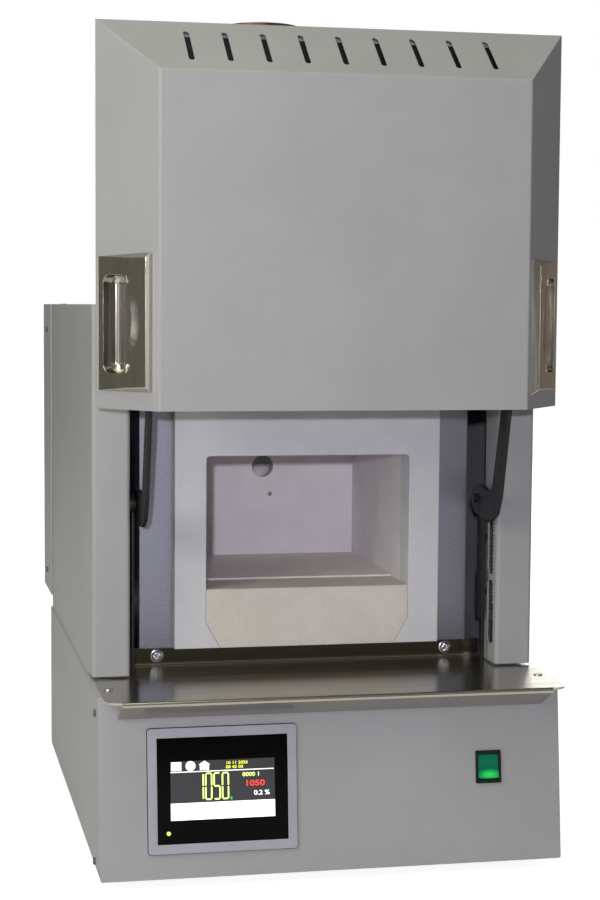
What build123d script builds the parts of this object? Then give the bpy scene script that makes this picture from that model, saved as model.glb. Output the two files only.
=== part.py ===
from build123d import *
import math
import os

os.makedirs("parts", exist_ok=True)

# Bench ashing furnace with a lift-up door, drawn with the door raised.
# X runs to the right, Y to the back and Z up, in millimetres. The floor is Z = 0,
# the middle of the width is X = 0 and the middle of the whole depth is Y = 0.

# Overall sizes
BASE_WIDTH = 434.5
CASING_WIDTH = 430.5
DOOR_WIDTH = 434.0
HALF_DEPTH = 339.0
FOOT_HEIGHT = 10.0
BASE_HEIGHT = 165.0
CASING_TOP = 527.5
CHIMNEY_TOP = 829.0
SHEET = 1.5

# Places along the depth
PANEL_TOP_Y = -295.0
PANEL_LEAN = 17.5
BASE_BACK_Y = 230.0
TRAY_FRONT_Y = -333.0
TRAY_STEP_Y = -224.0
UPSTAND_Y = -162.0
COLUMN_Y = -222.5
COLUMN_BACK_Y = -184.0
COLLAR_Y = -184.0
COLLAR_DEPTH = 32.0
CASE_FRONT_Y = -170.0
HEARTH_FRONT_Y = -122.5
CHAMBER_BACK_Y = 52.0
CORE_BACK_Y = 108.5
FLUE_Y = 78.0

# Heights
BASE_BOTTOM = FOOT_HEIGHT
BASE_TOP = FOOT_HEIGHT + BASE_HEIGHT
TRAY_SHEET = 2.0
TRAY_TOP = BASE_TOP + TRAY_SHEET
UPSTAND_TOP = 194.0
CORE_BOTTOM = 196.0
HEARTH_TOP = 255.0
SILL_TOP = 253.3
CHAMBER_TOP = 382.5
CORE_TOP = 428.5
COVER_BOTTOM = 187.0

# Widths, as half widths from the middle
COLUMN_INNER = 179.25
CASE_HALF = 164.0
STRIP_INNER = 132.0
COLLAR_HALF = 131.5
CHAMBER_HALF = 101.0
TRAY_HALF = 214.7
TRAY_BACK_HALF = 178.0
UPSTAND_HALF = 181.0
FLAP_HALF = 200.0

# Door, raised
DOOR_BOTTOM = 434.5
DOOR_HEIGHT = 344.5
DOOR_BACK_Y = -276.5
DOOR_DEPTH = HALF_DEPTH + DOOR_BACK_Y
BEVEL = 49.0
LIFT = 251.5
SWING_BACK = 50.5
SLOT_COUNT = 9
SLOT_PITCH = 34.5
SLOT_LENGTH = 48.5
SLOT_WIDTH = 5.4

# Door linkage: two level pairs of arms of one length
PIVOT_Y = -192.5
PIVOT_Z = 339.0
ARM_RISE = 100.0
DOOR_PIVOT_Y = -282.5
ARM_INNER = 167.0
ARM_SHEET = 4.0
PIN_RADIUS = 4.0
RUN_GAP = 0.06
OPEN_GAP = 0.35

REACH = DOOR_PIVOT_Y - PIVOT_Y
DOOR_PIVOT_RISE = (2 * SWING_BACK * REACH + SWING_BACK**2 + LIFT**2) / (2 * LIFT)
DOOR_PIVOT_Z = PIVOT_Z + DOOR_PIVOT_RISE
ARM_OUTER = ARM_INNER + ARM_SHEET
UPPER_PIVOT_Z = PIVOT_Z + ARM_RISE
UPPER_DOOR_PIVOT_Z = DOOR_PIVOT_Z + ARM_RISE

# Counterbalance springs, one inside each column
SPRING_X = 190.0
SPRING_Y = -204.0
SPRING_WIRE = 2.1
SPRING_RADIUS = 7.4
SPRING_PITCH = 3.8
SPRING_TURNS = 22
SEAT_TOP = 229.0
SEAT_THICKNESS = 10.0
CRANK_Y = -11.5
CRANK_Z = -7.5
ROD_RADIUS = 2.5

# Front panel fittings, measured along the leaning panel from its lower edge
SCREEN_X = -104.9
SCREEN_S = 79.3
BEZEL_WIDTH = 137.3
BEZEL_HEIGHT = 113.2
BEZEL_PROUD = 2.5
GLASS_WIDTH = 120.3
GLASS_HEIGHT = 95.6
SWITCH_X = 147.2
SWITCH_S = 88.8
SWITCH_WIDTH = 24.3
SWITCH_HEIGHT = 30.4
ROCKER_WIDTH = 18.8
ROCKER_HEIGHT = 21.0

PANEL_ANGLE = math.atan2(PANEL_LEAN, BASE_HEIGHT)
PANEL_LENGTH = math.hypot(PANEL_LEAN, BASE_HEIGHT)
PANEL = Plane(
    origin=(0, PANEL_TOP_Y - PANEL_LEAN, BASE_BOTTOM),
    x_dir=(1, 0, 0),
    z_dir=(0, -math.cos(PANEL_ANGLE), math.sin(PANEL_ANGLE)),
)


def save(part, name):
    """Names a finished piece and writes it as one file."""
    part.label = name
    export_step(part, "parts/" + name + ".step")


def bent_outline(path, thickness, bend_radius):
    """Closed outline of sheet metal folded along a path, with rounded bends.

    The path is the sheet's middle line. Returns the corner points and their radii.
    """
    half = thickness / 2
    left, right, left_radii, right_radii = [], [], [], []
    for i, (x, y) in enumerate(path):
        before = path[max(i - 1, 0)]
        after = path[min(i + 1, len(path) - 1)]
        headings = []
        for a, b in ((before, (x, y)), ((x, y), after)):
            run = math.hypot(b[0] - a[0], b[1] - a[1])
            if run > 0:
                headings.append(((b[0] - a[0]) / run, (b[1] - a[1]) / run))
        first, last = headings[0], headings[-1]
        turn = first[0] * last[1] - first[1] * last[0]
        aim = (-(first[1] + last[1]), first[0] + last[0])
        size = math.hypot(*aim)
        cosine = size / 2
        reach = half / cosine
        left.append((x + aim[0] / size * reach, y + aim[1] / size * reach))
        right.append((x - aim[0] / size * reach, y - aim[1] / size * reach))
        bends = 0 < i < len(path) - 1
        left_radii.append(bend_radius + (0 if turn > 0 else thickness) if bends else 0)
        right_radii.append(bend_radius + (thickness if turn > 0 else 0) if bends else 0)
    return left + right[::-1], left_radii + right_radii[::-1]


def bent_line(path, thickness, bend_radius):
    """Draws the outline of a folded sheet's section in the line builder that is open."""
    points, radii = bent_outline(path, thickness, bend_radius)
    FilletPolyline(*points, radius=radii, close=True)


def both_sides(name):
    """Pairs the side's sign with the node's name: -1 is left, 1 is right."""
    return ((-1, name + "_left"), (1, name + "_right"))


# Feet: four moulded rubber pads
with BuildPart() as rubber_feet:
    for foot_x in (-165.0, 165.0):
        for foot_y in (-255.0, 190.0):
            with BuildSketch(Plane.XY) as foot_low:
                with Locations((foot_x, foot_y)):
                    Circle(14)
            with BuildSketch(Plane.XY.offset(FOOT_HEIGHT)) as foot_high:
                with Locations((foot_x, foot_y)):
                    Circle(16)
            loft()
save(rubber_feet.part, "rubber_feet")

# Base shell: floor, sides and roof folded into a tube, open at the front and back
SHELL_STEP = SHEET + 0.1
CABLE_HOLE_RADIUS = 20.0
with BuildPart() as base_shell:
    with BuildSketch(Plane.XZ.offset(-BASE_BACK_Y)) as shell_section:
        with Locations((0, BASE_BOTTOM + BASE_HEIGHT / 2)):
            RectangleRounded(BASE_WIDTH, BASE_HEIGHT, 3)
    extrude(amount=BASE_BACK_Y - PANEL_TOP_Y + PANEL_LEAN)
    with BuildSketch(Plane.XZ.offset(-BASE_BACK_Y)) as shell_hollow:
        with Locations((0, BASE_BOTTOM + BASE_HEIGHT / 2)):
            RectangleRounded(BASE_WIDTH - 2 * SHEET, BASE_HEIGHT - 2 * SHEET, 1.5)
    extrude(amount=BASE_BACK_Y - PANEL_TOP_Y + PANEL_LEAN, mode=Mode.SUBTRACT)
    with BuildSketch(PANEL.offset(-SHELL_STEP)) as lean_cut:
        with Locations((0, PANEL_LENGTH / 2)):
            Rectangle(BASE_WIDTH + 20, PANEL_LENGTH + 40)
    extrude(amount=40, mode=Mode.SUBTRACT)
    with Locations((120, 150, BASE_TOP)):
        Hole(CABLE_HOLE_RADIUS, 8)
save(base_shell.part, "base_shell")

# Front panel: leaning sheet with cut-outs and side returns inside the shell
RETURN_DEPTH = 45.0
RETURN_X = BASE_WIDTH / 2 - SHEET - 0.3 - SHEET / 2
SCREEN_CUT = (122.0, 98.0)
SWITCH_CUT = (21.0, 26.0)
with BuildPart() as front_panel:
    with BuildSketch(PANEL.offset(-SHEET)) as panel_face:
        with Locations((0, PANEL_LENGTH / 2)):
            RectangleRounded(BASE_WIDTH, PANEL_LENGTH, 2)
        with Locations((SCREEN_X, SCREEN_S)):
            Rectangle(*SCREEN_CUT, mode=Mode.SUBTRACT)
        with Locations((SWITCH_X, SWITCH_S)):
            Rectangle(*SWITCH_CUT, mode=Mode.SUBTRACT)
    extrude(amount=SHEET)
    for side in (-1, 1):
        with BuildSketch(PANEL.offset(-SHEET)) as side_return:
            with Locations((side * RETURN_X, PANEL_LENGTH / 2)):
                Rectangle(SHEET, PANEL_LENGTH - 18)
        extrude(amount=-RETURN_DEPTH)
save(front_panel.part, "front_panel")

# Back panel of the base: louvred plate with the mains inlet hole
GLAND_X = -150.0
GLAND_Z = 60.0
GLAND_RADIUS = 9.0
FUSE_X = (-80.0, -45.0)
FUSE_RADIUS = 6.5
with BuildPart() as base_back_panel:
    with BuildSketch(Plane.XZ.offset(-BASE_BACK_Y + SHEET)) as back_face:
        with Locations((0, BASE_BOTTOM + BASE_HEIGHT / 2)):
            RectangleRounded(BASE_WIDTH - 2 * SHEET - 0.4, BASE_HEIGHT - 2 * SHEET - 0.4, 1.5)
        with Locations((60, BASE_BOTTOM + BASE_HEIGHT / 2)):
            with GridLocations(56, 14, 3, 7):
                SlotOverall(44, 5, mode=Mode.SUBTRACT)
        with Locations((GLAND_X, GLAND_Z)):
            Circle(GLAND_RADIUS, mode=Mode.SUBTRACT)
        with Locations(*[(x, GLAND_Z) for x in FUSE_X]):
            Circle(FUSE_RADIUS, mode=Mode.SUBTRACT)
    extrude(amount=-SHEET)
save(base_back_panel.part, "base_back_panel")

# Mains cable gland: hexagon body, flange and clamping nut, with a bore for the cord
with BuildPart() as cable_gland:
    with BuildSketch(Plane.XZ.offset(-BASE_BACK_Y + 14)) as gland_nut:
        with Locations((GLAND_X, GLAND_Z)):
            RegularPolygon(13, 6)
    extrude(amount=-(14 - SHEET))
    with BuildSketch(Plane.XZ.offset(-BASE_BACK_Y + SHEET)) as gland_neck:
        with Locations((GLAND_X, GLAND_Z)):
            Circle(GLAND_RADIUS - 0.2)
    extrude(amount=-SHEET)
    with BuildSketch(Plane.XZ.offset(-BASE_BACK_Y)) as gland_body:
        with Locations((GLAND_X, GLAND_Z)):
            RegularPolygon(13, 6)
    extrude(amount=-12)
    with BuildSketch(Plane.XZ.offset(-BASE_BACK_Y - 12)) as gland_cap:
        with Locations((GLAND_X, GLAND_Z)):
            Circle(11)
    extrude(amount=-9, taper=8)
    with BuildSketch(Plane.XZ.offset(-BASE_BACK_Y + 14)) as gland_bore:
        with Locations((GLAND_X, GLAND_Z)):
            Circle(4.5)
    extrude(amount=-40, mode=Mode.SUBTRACT)
save(cable_gland.part, "cable_gland")

# Two mains fuse holders beside the gland
with BuildPart() as fuse_holders:
    for fuse_x in FUSE_X:
        with BuildSketch(Plane.XZ.offset(-BASE_BACK_Y + 32)) as fuse_body:
            with Locations((fuse_x, GLAND_Z)):
                Circle(FUSE_RADIUS - 0.2)
        extrude(amount=-32)
        with BuildSketch(Plane.XZ.offset(-BASE_BACK_Y)) as fuse_cap:
            with Locations((fuse_x, GLAND_Z)):
                Circle(9)
        extrude(amount=-7)
save(fuse_holders.part, "fuse_holders")

# Spill tray: one sheet folded to a back upstand, a flat shelf and a sloping front flap,
# with a wing at each side of the shelf in front of the columns
TRAY_CORNER = 14.0
TRAY_BEND = 0.8
FLAP_ANGLE = 27.4
FLAP_BACK_Y = -299.0
UPSTAND_START_Y = -182.0
FLAP_SLOPE = math.radians(FLAP_ANGLE)
TRAY_MIDDLE_Z = BASE_TOP + TRAY_SHEET / 2
FOLD_REACH = (TRAY_BEND + TRAY_SHEET / 2) * math.tan((math.pi - FLAP_SLOPE) / 2)
FOLD_Y = TRAY_FRONT_Y + TRAY_BEND + TRAY_SHEET - FOLD_REACH
with BuildPart() as spill_tray:
    with BuildSketch(Plane.YZ.offset(-FLAP_HALF)) as tray_section:
        with BuildLine():
            bent_line(
                [
                    (UPSTAND_Y + TRAY_SHEET / 2, UPSTAND_TOP),
                    (UPSTAND_Y + TRAY_SHEET / 2, TRAY_MIDDLE_Z),
                    (FOLD_Y, TRAY_MIDDLE_Z),
                    (FLAP_BACK_Y, TRAY_MIDDLE_Z - (FLAP_BACK_Y - FOLD_Y) * math.tan(FLAP_SLOPE)),
                ],
                TRAY_SHEET,
                TRAY_BEND,
            )
        make_face()
    extrude(amount=2 * FLAP_HALF)
    with BuildSketch(Plane.XY.offset(BASE_TOP - 1)) as tray_notches:
        for side in (-1, 1):
            with Locations((side * (TRAY_BACK_HALF + 20), (TRAY_STEP_Y + UPSTAND_START_Y) / 2)):
                Rectangle(40, UPSTAND_START_Y - TRAY_STEP_Y)
            with Locations((side * (UPSTAND_HALF + 20), UPSTAND_START_Y + 15)):
                Rectangle(40, 30)
    extrude(amount=UPSTAND_TOP - BASE_TOP + 2, mode=Mode.SUBTRACT)
    with BuildSketch(Plane.XY.offset(BASE_TOP)) as tray_wings:
        for side in (-1, 1):
            with Locations((side * (FLAP_HALF + TRAY_HALF) / 2, (TRAY_FRONT_Y + TRAY_STEP_Y) / 2)):
                Rectangle(TRAY_HALF - FLAP_HALF, TRAY_STEP_Y - TRAY_FRONT_Y)
        wing_corners = tray_wings.vertices().group_by(Axis.Y)[0].sort_by(Axis.X)
        fillet([wing_corners[0], wing_corners[-1]], TRAY_CORNER)
    extrude(amount=TRAY_SHEET)
    fillet(spill_tray.edges().filter_by(Axis.Y).group_by(Axis.Z)[-1], 2)
save(spill_tray.part, "spill_tray")

# Tray screws: two flat heads on the shelf, two domed heads on the upstand
TRAY_SCREW_X = 205.5
TRAY_SCREW_Y = -273.0
UPSTAND_SCREW_X = 146.0
UPSTAND_SCREW_Z = 186.0
with BuildPart() as tray_screws:
    with Locations((-TRAY_SCREW_X, TRAY_SCREW_Y, TRAY_TOP), (TRAY_SCREW_X, TRAY_SCREW_Y, TRAY_TOP)):
        Cylinder(4.2, 1.2, align=(Align.CENTER, Align.CENTER, Align.MIN))
    for side in (-1, 1):
        with BuildSketch(Plane.XZ.offset(-UPSTAND_Y)) as dome_foot:
            with Locations((side * UPSTAND_SCREW_X, UPSTAND_SCREW_Z)):
                Circle(4.6)
        extrude(amount=1.4)
        with BuildSketch(Plane.XZ.offset(-UPSTAND_Y + 1.4)) as dome_top:
            with Locations((side * UPSTAND_SCREW_X, UPSTAND_SCREW_Z)):
                Circle(4.6)
        extrude(amount=1.8, taper=35)
save(tray_screws.part, "tray_screws")

# Pan-head screws along the sides: two each side of the base, two each side of the cover
SIDE_SCREWS = ((-271.0, 155.5), (-266.5, 16.5))
COVER_SCREWS = ((280.5, 497.8), (280.5, 210.6))
with BuildPart() as side_screws:
    for side in (-1, 1):
        for half_width, places in ((BASE_WIDTH / 2, SIDE_SCREWS), (CASING_WIDTH / 2, COVER_SCREWS)):
            for screw_y, screw_z in places:
                with BuildSketch(Plane.YZ.offset(side * half_width)) as pan:
                    with Locations((screw_y, screw_z)):
                        Circle(3.4)
                extrude(amount=side * 1.0)
                with BuildSketch(Plane.YZ.offset(side * (half_width + 1.0))) as pan_crown:
                    with Locations((screw_y, screw_z)):
                        Circle(3.4)
                extrude(amount=side * 0.9, taper=40)
save(side_screws.part, "side_screws")

# Controller bezel: moulded frame that stands a little proud of the panel
with BuildPart() as controller_bezel:
    with BuildSketch(PANEL) as bezel_outer:
        with Locations((SCREEN_X, SCREEN_S)):
            RectangleRounded(BEZEL_WIDTH, BEZEL_HEIGHT, 3)
            Rectangle(GLASS_WIDTH - 3, GLASS_HEIGHT - 3, mode=Mode.SUBTRACT)
    extrude(amount=BEZEL_PROUD)
    with BuildSketch(PANEL.offset(BEZEL_PROUD - 1.2)) as bezel_rebate:
        with Locations((SCREEN_X, SCREEN_S)):
            Rectangle(GLASS_WIDTH + 0.4, GLASS_HEIGHT + 0.4)
    extrude(amount=2, mode=Mode.SUBTRACT)
save(controller_bezel.part, "controller_bezel")

# Controller glass: touch screen cover let into the bezel
with BuildPart() as controller_glass:
    with BuildSketch(PANEL.offset(BEZEL_PROUD - 1.2)) as glass_face:
        with Locations((SCREEN_X, SCREEN_S)):
            Rectangle(GLASS_WIDTH, GLASS_HEIGHT)
    extrude(amount=0.9)
save(controller_glass.part, "controller_glass")

# Controller housing: electronics box behind the panel, plugged through its cut-out
with BuildPart() as controller_housing:
    with BuildSketch(PANEL) as housing_box:
        with Locations((SCREEN_X, SCREEN_S)):
            Rectangle(GLASS_WIDTH - 4, GLASS_HEIGHT - 4)
    extrude(amount=-42)
    with BuildSketch(PANEL.offset(-42)) as housing_plugs:
        with Locations((SCREEN_X, SCREEN_S - 20)):
            with GridLocations(34, 0, 3, 1):
                Rectangle(26, 12)
    extrude(amount=-9)
save(controller_housing.part, "controller_housing")

# Mains switch housing: frame and body in one moulding
with BuildPart() as switch_housing:
    with BuildSketch(PANEL) as switch_frame:
        with Locations((SWITCH_X, SWITCH_S)):
            RectangleRounded(SWITCH_WIDTH, SWITCH_HEIGHT, 1.2)
    extrude(amount=2.2)
    with BuildSketch(PANEL) as switch_body:
        with Locations((SWITCH_X, SWITCH_S)):
            Rectangle(SWITCH_CUT[0] - 0.4, SWITCH_CUT[1] - 0.4)
    extrude(amount=-24)
    with BuildSketch(PANEL.offset(-24)) as switch_tabs:
        with Locations((SWITCH_X, SWITCH_S)):
            with GridLocations(9, 14, 2, 2):
                Rectangle(0.8, 6.3)
    extrude(amount=-10)
    with BuildSketch(PANEL.offset(-11)) as switch_well:
        with Locations((SWITCH_X, SWITCH_S)):
            Rectangle(ROCKER_WIDTH + 0.8, ROCKER_HEIGHT + 3.4)
    extrude(amount=20, mode=Mode.SUBTRACT)
save(switch_housing.part, "switch_housing")

# Green rocker: a button with two flat faces that meet in a shallow valley
ROCKER_DEPTH = 6.0
ROCKER_TILT = 8.0
rocker_rise = math.tan(math.radians(ROCKER_TILT)) * ROCKER_HEIGHT / 2
with BuildPart() as switch_rocker:
    with BuildSketch(Plane(origin=PANEL.from_local_coords((SWITCH_X - ROCKER_WIDTH / 2, SWITCH_S, 0)),
                           x_dir=PANEL.y_dir, z_dir=(1, 0, 0))) as rocker_side:
        with BuildLine():
            Polyline(
                (-ROCKER_HEIGHT / 2, -ROCKER_DEPTH),
                (ROCKER_HEIGHT / 2, -ROCKER_DEPTH),
                (ROCKER_HEIGHT / 2, 1.6),
                (0, 1.6),
                (-ROCKER_HEIGHT / 2, 1.6 + 2 * rocker_rise),
                close=True,
            )
        make_face()
    extrude(amount=ROCKER_WIDTH)
save(switch_rocker.part, "switch_rocker")

# Electronics inside the base, on its floor
FLOOR_Z = BASE_BOTTOM + SHEET
with BuildPart() as relay_heatsink:
    with BuildSketch(Plane.XY.offset(FLOOR_Z)) as sink_base:
        with Locations((70, 60)):
            Rectangle(90, 100)
    extrude(amount=8)
    with BuildSketch(Plane.XY.offset(FLOOR_Z + 8)) as sink_fins:
        with Locations((70, 60)):
            with GridLocations(0, 11, 1, 9):
                Rectangle(90, 2.5)
    extrude(amount=28)
save(relay_heatsink.part, "relay_heatsink")

with BuildPart() as solid_state_relay:
    with BuildSketch(Plane.XY.offset(FLOOR_Z)) as relay_plan:
        with Locations((-10, 60)):
            RectangleRounded(45, 58, 3)
            with GridLocations(0, 48, 1, 2):
                Circle(2.2, mode=Mode.SUBTRACT)
    extrude(amount=28)
save(solid_state_relay.part, "solid_state_relay")

with BuildPart() as terminal_block:
    with BuildSketch(Plane.XY.offset(FLOOR_Z)) as terminal_plan:
        with Locations((-120, 120)):
            Rectangle(70, 30)
    extrude(amount=26)
    with BuildSketch(Plane.XY.offset(FLOOR_Z + 26)) as terminal_wells:
        with Locations((-120, 120)):
            with GridLocations(11, 16, 6, 2):
                Circle(3.2)
    extrude(amount=-6, mode=Mode.SUBTRACT)
save(terminal_block.part, "terminal_block")

with BuildPart() as power_supply:
    with BuildSketch(Plane.XY.offset(FLOOR_Z)) as supply_plan:
        with Locations((-120, 20)):
            Rectangle(78, 93)
    extrude(amount=32)
save(power_supply.part, "power_supply")

# Casing sides: each is one sheet folded into the outer wall and the front column,
# whose inner face has two windows on the spring. The columns end just above the tray
WINDOW_WIDTH = 18.0
LOWER_WINDOW = (197.0, 259.0)
UPPER_WINDOW = (265.5, 321.5)
PIVOT_HOLE = 6.35
FOOT_GAP = 3.8
CASING_SIDE_TOP = CASING_TOP - SHEET
for side, node in both_sides("casing_side"):
    outer_x = side * (CASING_WIDTH / 2 - SHEET / 2)
    inner_x = side * (COLUMN_INNER + SHEET / 2)
    with BuildPart() as casing_side:
        with BuildSketch(Plane.XY.offset(BASE_TOP)) as side_plan:
            with BuildLine():
                bent_line(
                    [
                        (outer_x, BASE_BACK_Y),
                        (outer_x, COLUMN_Y + SHEET / 2),
                        (inner_x, COLUMN_Y + SHEET / 2),
                        (inner_x, COLUMN_BACK_Y),
                    ],
                    SHEET,
                    2.2,
                )
            make_face()
        extrude(amount=CASING_SIDE_TOP - BASE_TOP)
        window_start = side * (COLUMN_INNER - 2)
        with BuildSketch(Plane.YZ.offset(window_start)) as windows:
            for low, high in (LOWER_WINDOW, UPPER_WINDOW):
                with Locations((SPRING_Y, (low + high) / 2)):
                    RectangleRounded(WINDOW_WIDTH, high - low, 5)
            with Locations((PIVOT_Y, PIVOT_Z), (PIVOT_Y, UPPER_PIVOT_Z)):
                Circle(PIVOT_HOLE)
        extrude(amount=side * 6, mode=Mode.SUBTRACT)
        with BuildSketch(Plane.XY.offset(BASE_TOP)) as foot_gap:
            with Locations((side * (COLUMN_INNER + CASING_WIDTH / 2) / 2, (COLUMN_Y + COLUMN_BACK_Y) / 2)):
                Rectangle(CASING_WIDTH / 2 - COLUMN_INNER + 4, COLUMN_BACK_Y - COLUMN_Y + 4)
        extrude(amount=FOOT_GAP, mode=Mode.SUBTRACT)
    save(casing_side.part, node)

# Casing top: flat lid with the chimney hole
CHIMNEY_RADIUS = 41.8
CHIMNEY_WALL = 1.2
with BuildPart() as casing_top:
    with BuildSketch(Plane.XY.offset(CASING_TOP - SHEET)) as top_plan:
        with Locations((0, (COLUMN_Y + BASE_BACK_Y) / 2)):
            RectangleRounded(CASING_WIDTH, BASE_BACK_Y - COLUMN_Y, 3)
        with Locations((0, FLUE_Y)):
            Circle(CHIMNEY_RADIUS - CHIMNEY_WALL, mode=Mode.SUBTRACT)
    extrude(amount=SHEET)
save(casing_top.part, "casing_top")

# Front header: galvanised sheet that closes the casing above the insulation
with BuildPart() as front_header:
    with BuildSketch(Plane.XZ.offset(-COLLAR_Y)) as header_face:
        with Locations((0, (CORE_TOP + 2 + CASING_TOP - SHEET) / 2)):
            Rectangle(2 * (COLUMN_INNER - 0.4), CASING_TOP - SHEET - CORE_TOP - 2)
    extrude(amount=-SHEET)
save(front_header.part, "front_header")

# Back cover: deep vented box over the terminals
with BuildPart() as rear_cover:
    with BuildSketch(Plane.XY.offset(COVER_BOTTOM)) as cover_plan:
        with Locations((0, (BASE_BACK_Y + HALF_DEPTH) / 2)):
            Rectangle(CASING_WIDTH, HALF_DEPTH - BASE_BACK_Y)
        fillet(cover_plan.vertices().group_by(Axis.Y)[-1], 4)
    extrude(amount=CASING_TOP - COVER_BOTTOM)
    with BuildSketch(Plane.XY.offset(COVER_BOTTOM + SHEET)) as cover_hollow:
        with Locations((0, (BASE_BACK_Y + HALF_DEPTH) / 2 - SHEET)):
            Rectangle(CASING_WIDTH - 2 * SHEET, HALF_DEPTH - BASE_BACK_Y)
    extrude(amount=CASING_TOP - COVER_BOTTOM - 2 * SHEET, mode=Mode.SUBTRACT)
    with BuildSketch(Plane.XZ.offset(-HALF_DEPTH - 2)) as cover_vents:
        for vent_z in (COVER_BOTTOM + 60, CASING_TOP - 60):
            with Locations((0, vent_z)):
                with GridLocations(72, 13, 5, 5):
                    SlotOverall(56, 5)
    extrude(amount=6, mode=Mode.SUBTRACT)
save(rear_cover.part, "rear_cover")

# Inner case: galvanised box round the insulation, whose front flanges show as strips
CASE_SHEET = 1.2
LEAD_RADIUS = 3.0
LEAD_PLACES = [(x, z) for x in (-116.0, 116.0) for z in (285.0, 335.0)]
PROBE_X = 8.0
PROBE_Z = 321.0
PROBE_RADIUS = 2.2
VENT_RADIUS = 11.8
VENT_Z = 352.0
FLUE_RADIUS = 14.0
FLUE_WALL = 3.0
with BuildPart() as inner_case:
    with BuildSketch(Plane.XZ.offset(-CASE_FRONT_Y)) as case_section:
        with Locations((0, (CORE_BOTTOM + CORE_TOP) / 2)):
            Rectangle(2 * CASE_HALF, CORE_TOP - CORE_BOTTOM + 2 * CASE_SHEET)
    extrude(amount=-(CORE_BACK_Y + CASE_SHEET - CASE_FRONT_Y))
    with BuildSketch(Plane.XZ.offset(-CASE_FRONT_Y - CASE_SHEET)) as case_hollow:
        with Locations((0, (CORE_BOTTOM + CORE_TOP) / 2)):
            Rectangle(2 * (CASE_HALF - CASE_SHEET), CORE_TOP - CORE_BOTTOM)
    extrude(amount=-(CORE_BACK_Y - CASE_FRONT_Y - CASE_SHEET), mode=Mode.SUBTRACT)
    with BuildSketch(Plane.XZ.offset(-CASE_FRONT_Y + 1)) as case_mouth:
        with Locations((0, (CORE_BOTTOM + CORE_TOP) / 2)):
            Rectangle(2 * STRIP_INNER, CORE_TOP - CORE_BOTTOM + 2 * CASE_SHEET)
    extrude(amount=-(1 + CASE_SHEET), mode=Mode.SUBTRACT)
    with Locations((0, FLUE_Y, CORE_TOP)):
        Hole(15, 6)
    with BuildSketch(Plane.XZ.offset(-CORE_BACK_Y + 2)) as case_back_holes:
        with Locations((PROBE_X, PROBE_Z)):
            Circle(PROBE_RADIUS + 0.3)
        with Locations(*LEAD_PLACES):
            Circle(LEAD_RADIUS + 1.5)
    extrude(amount=-6, mode=Mode.SUBTRACT)
save(inner_case.part, "inner_case")

# Case stands: two channels that carry the inner case on the base
with BuildPart() as case_stands:
    for stand_y in (-110.0, 60.0):
        with BuildSketch(Plane.YZ.offset(-CASE_HALF + 10)) as stand_section:
            with BuildLine():
                bent_line(
                    [
                        (stand_y - 14, BASE_TOP),
                        (stand_y - 14, CORE_BOTTOM - CASE_SHEET - 1),
                        (stand_y + 14, CORE_BOTTOM - CASE_SHEET - 1),
                        (stand_y + 14, BASE_TOP),
                    ],
                    2,
                    1,
                )
            make_face()
        extrude(amount=2 * CASE_HALF - 20)
save(case_stands.part, "case_stands")

# Front collar: white fibre frame round the chamber mouth, cut out for the sill brick
SILL_CHAMFER_WIDTH = 14.0
SILL_CHAMFER_HEIGHT = 24.5
FIT = 0.3


def sill_points(half_width, low, high, gap):
    """Outline of the sill brick, with its two cut-off lower corners, grown by a gap."""
    wide = half_width + gap
    return [
        (-wide + SILL_CHAMFER_WIDTH, low),
        (wide - SILL_CHAMFER_WIDTH, low),
        (wide, low + SILL_CHAMFER_HEIGHT),
        (wide, high),
        (-wide, high),
        (-wide, low + SILL_CHAMFER_HEIGHT),
    ]


with BuildPart() as front_collar:
    with BuildSketch(Plane.XZ.offset(-COLLAR_Y)) as collar_face:
        with Locations((0, (CORE_BOTTOM + CORE_TOP) / 2)):
            Rectangle(2 * COLLAR_HALF, CORE_TOP - CORE_BOTTOM)
        with Locations((0, (SILL_TOP + CHAMBER_TOP) / 2)):
            RectangleRounded(2 * CHAMBER_HALF, CHAMBER_TOP - SILL_TOP, 4, mode=Mode.SUBTRACT)
        with BuildLine():
            Polyline(*sill_points(CHAMBER_HALF, CORE_BOTTOM, SILL_TOP + 8, 0), close=True)
        make_face(mode=Mode.SUBTRACT)
    extrude(amount=-COLLAR_DEPTH)
save(front_collar.part, "front_collar")

# Sill brick: insulating firebrick that carries the edge of the hearth
with BuildPart() as sill_brick:
    with BuildSketch(Plane.XZ.offset(-COLLAR_Y)) as sill_face:
        with BuildLine():
            Polyline(*sill_points(CHAMBER_HALF, CORE_BOTTOM, SILL_TOP, -FIT), close=True)
        make_face()
    extrude(amount=-(HEARTH_FRONT_Y - COLLAR_Y))
    fillet(sill_brick.edges().filter_by(Axis.X).group_by(Axis.Z)[-1].group_by(Axis.Y)[0], 1.5)
save(sill_brick.part, "sill_brick")

# Hearth plate: removable ceramic floor of the chamber
HEARTH_THICKNESS = 8.0
BOARD_FRONT_Y = COLLAR_Y + COLLAR_DEPTH
with BuildPart() as hearth_plate:
    with BuildSketch(Plane.XY.offset(HEARTH_TOP - HEARTH_THICKNESS)) as hearth_plan:
        with Locations((0, (HEARTH_FRONT_Y + CHAMBER_BACK_Y) / 2)):
            Rectangle(2 * CHAMBER_HALF - 1.2, CHAMBER_BACK_Y - HEARTH_FRONT_Y - 1.0)
    extrude(amount=HEARTH_THICKNESS)
save(hearth_plate.part, "hearth_plate")

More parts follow.
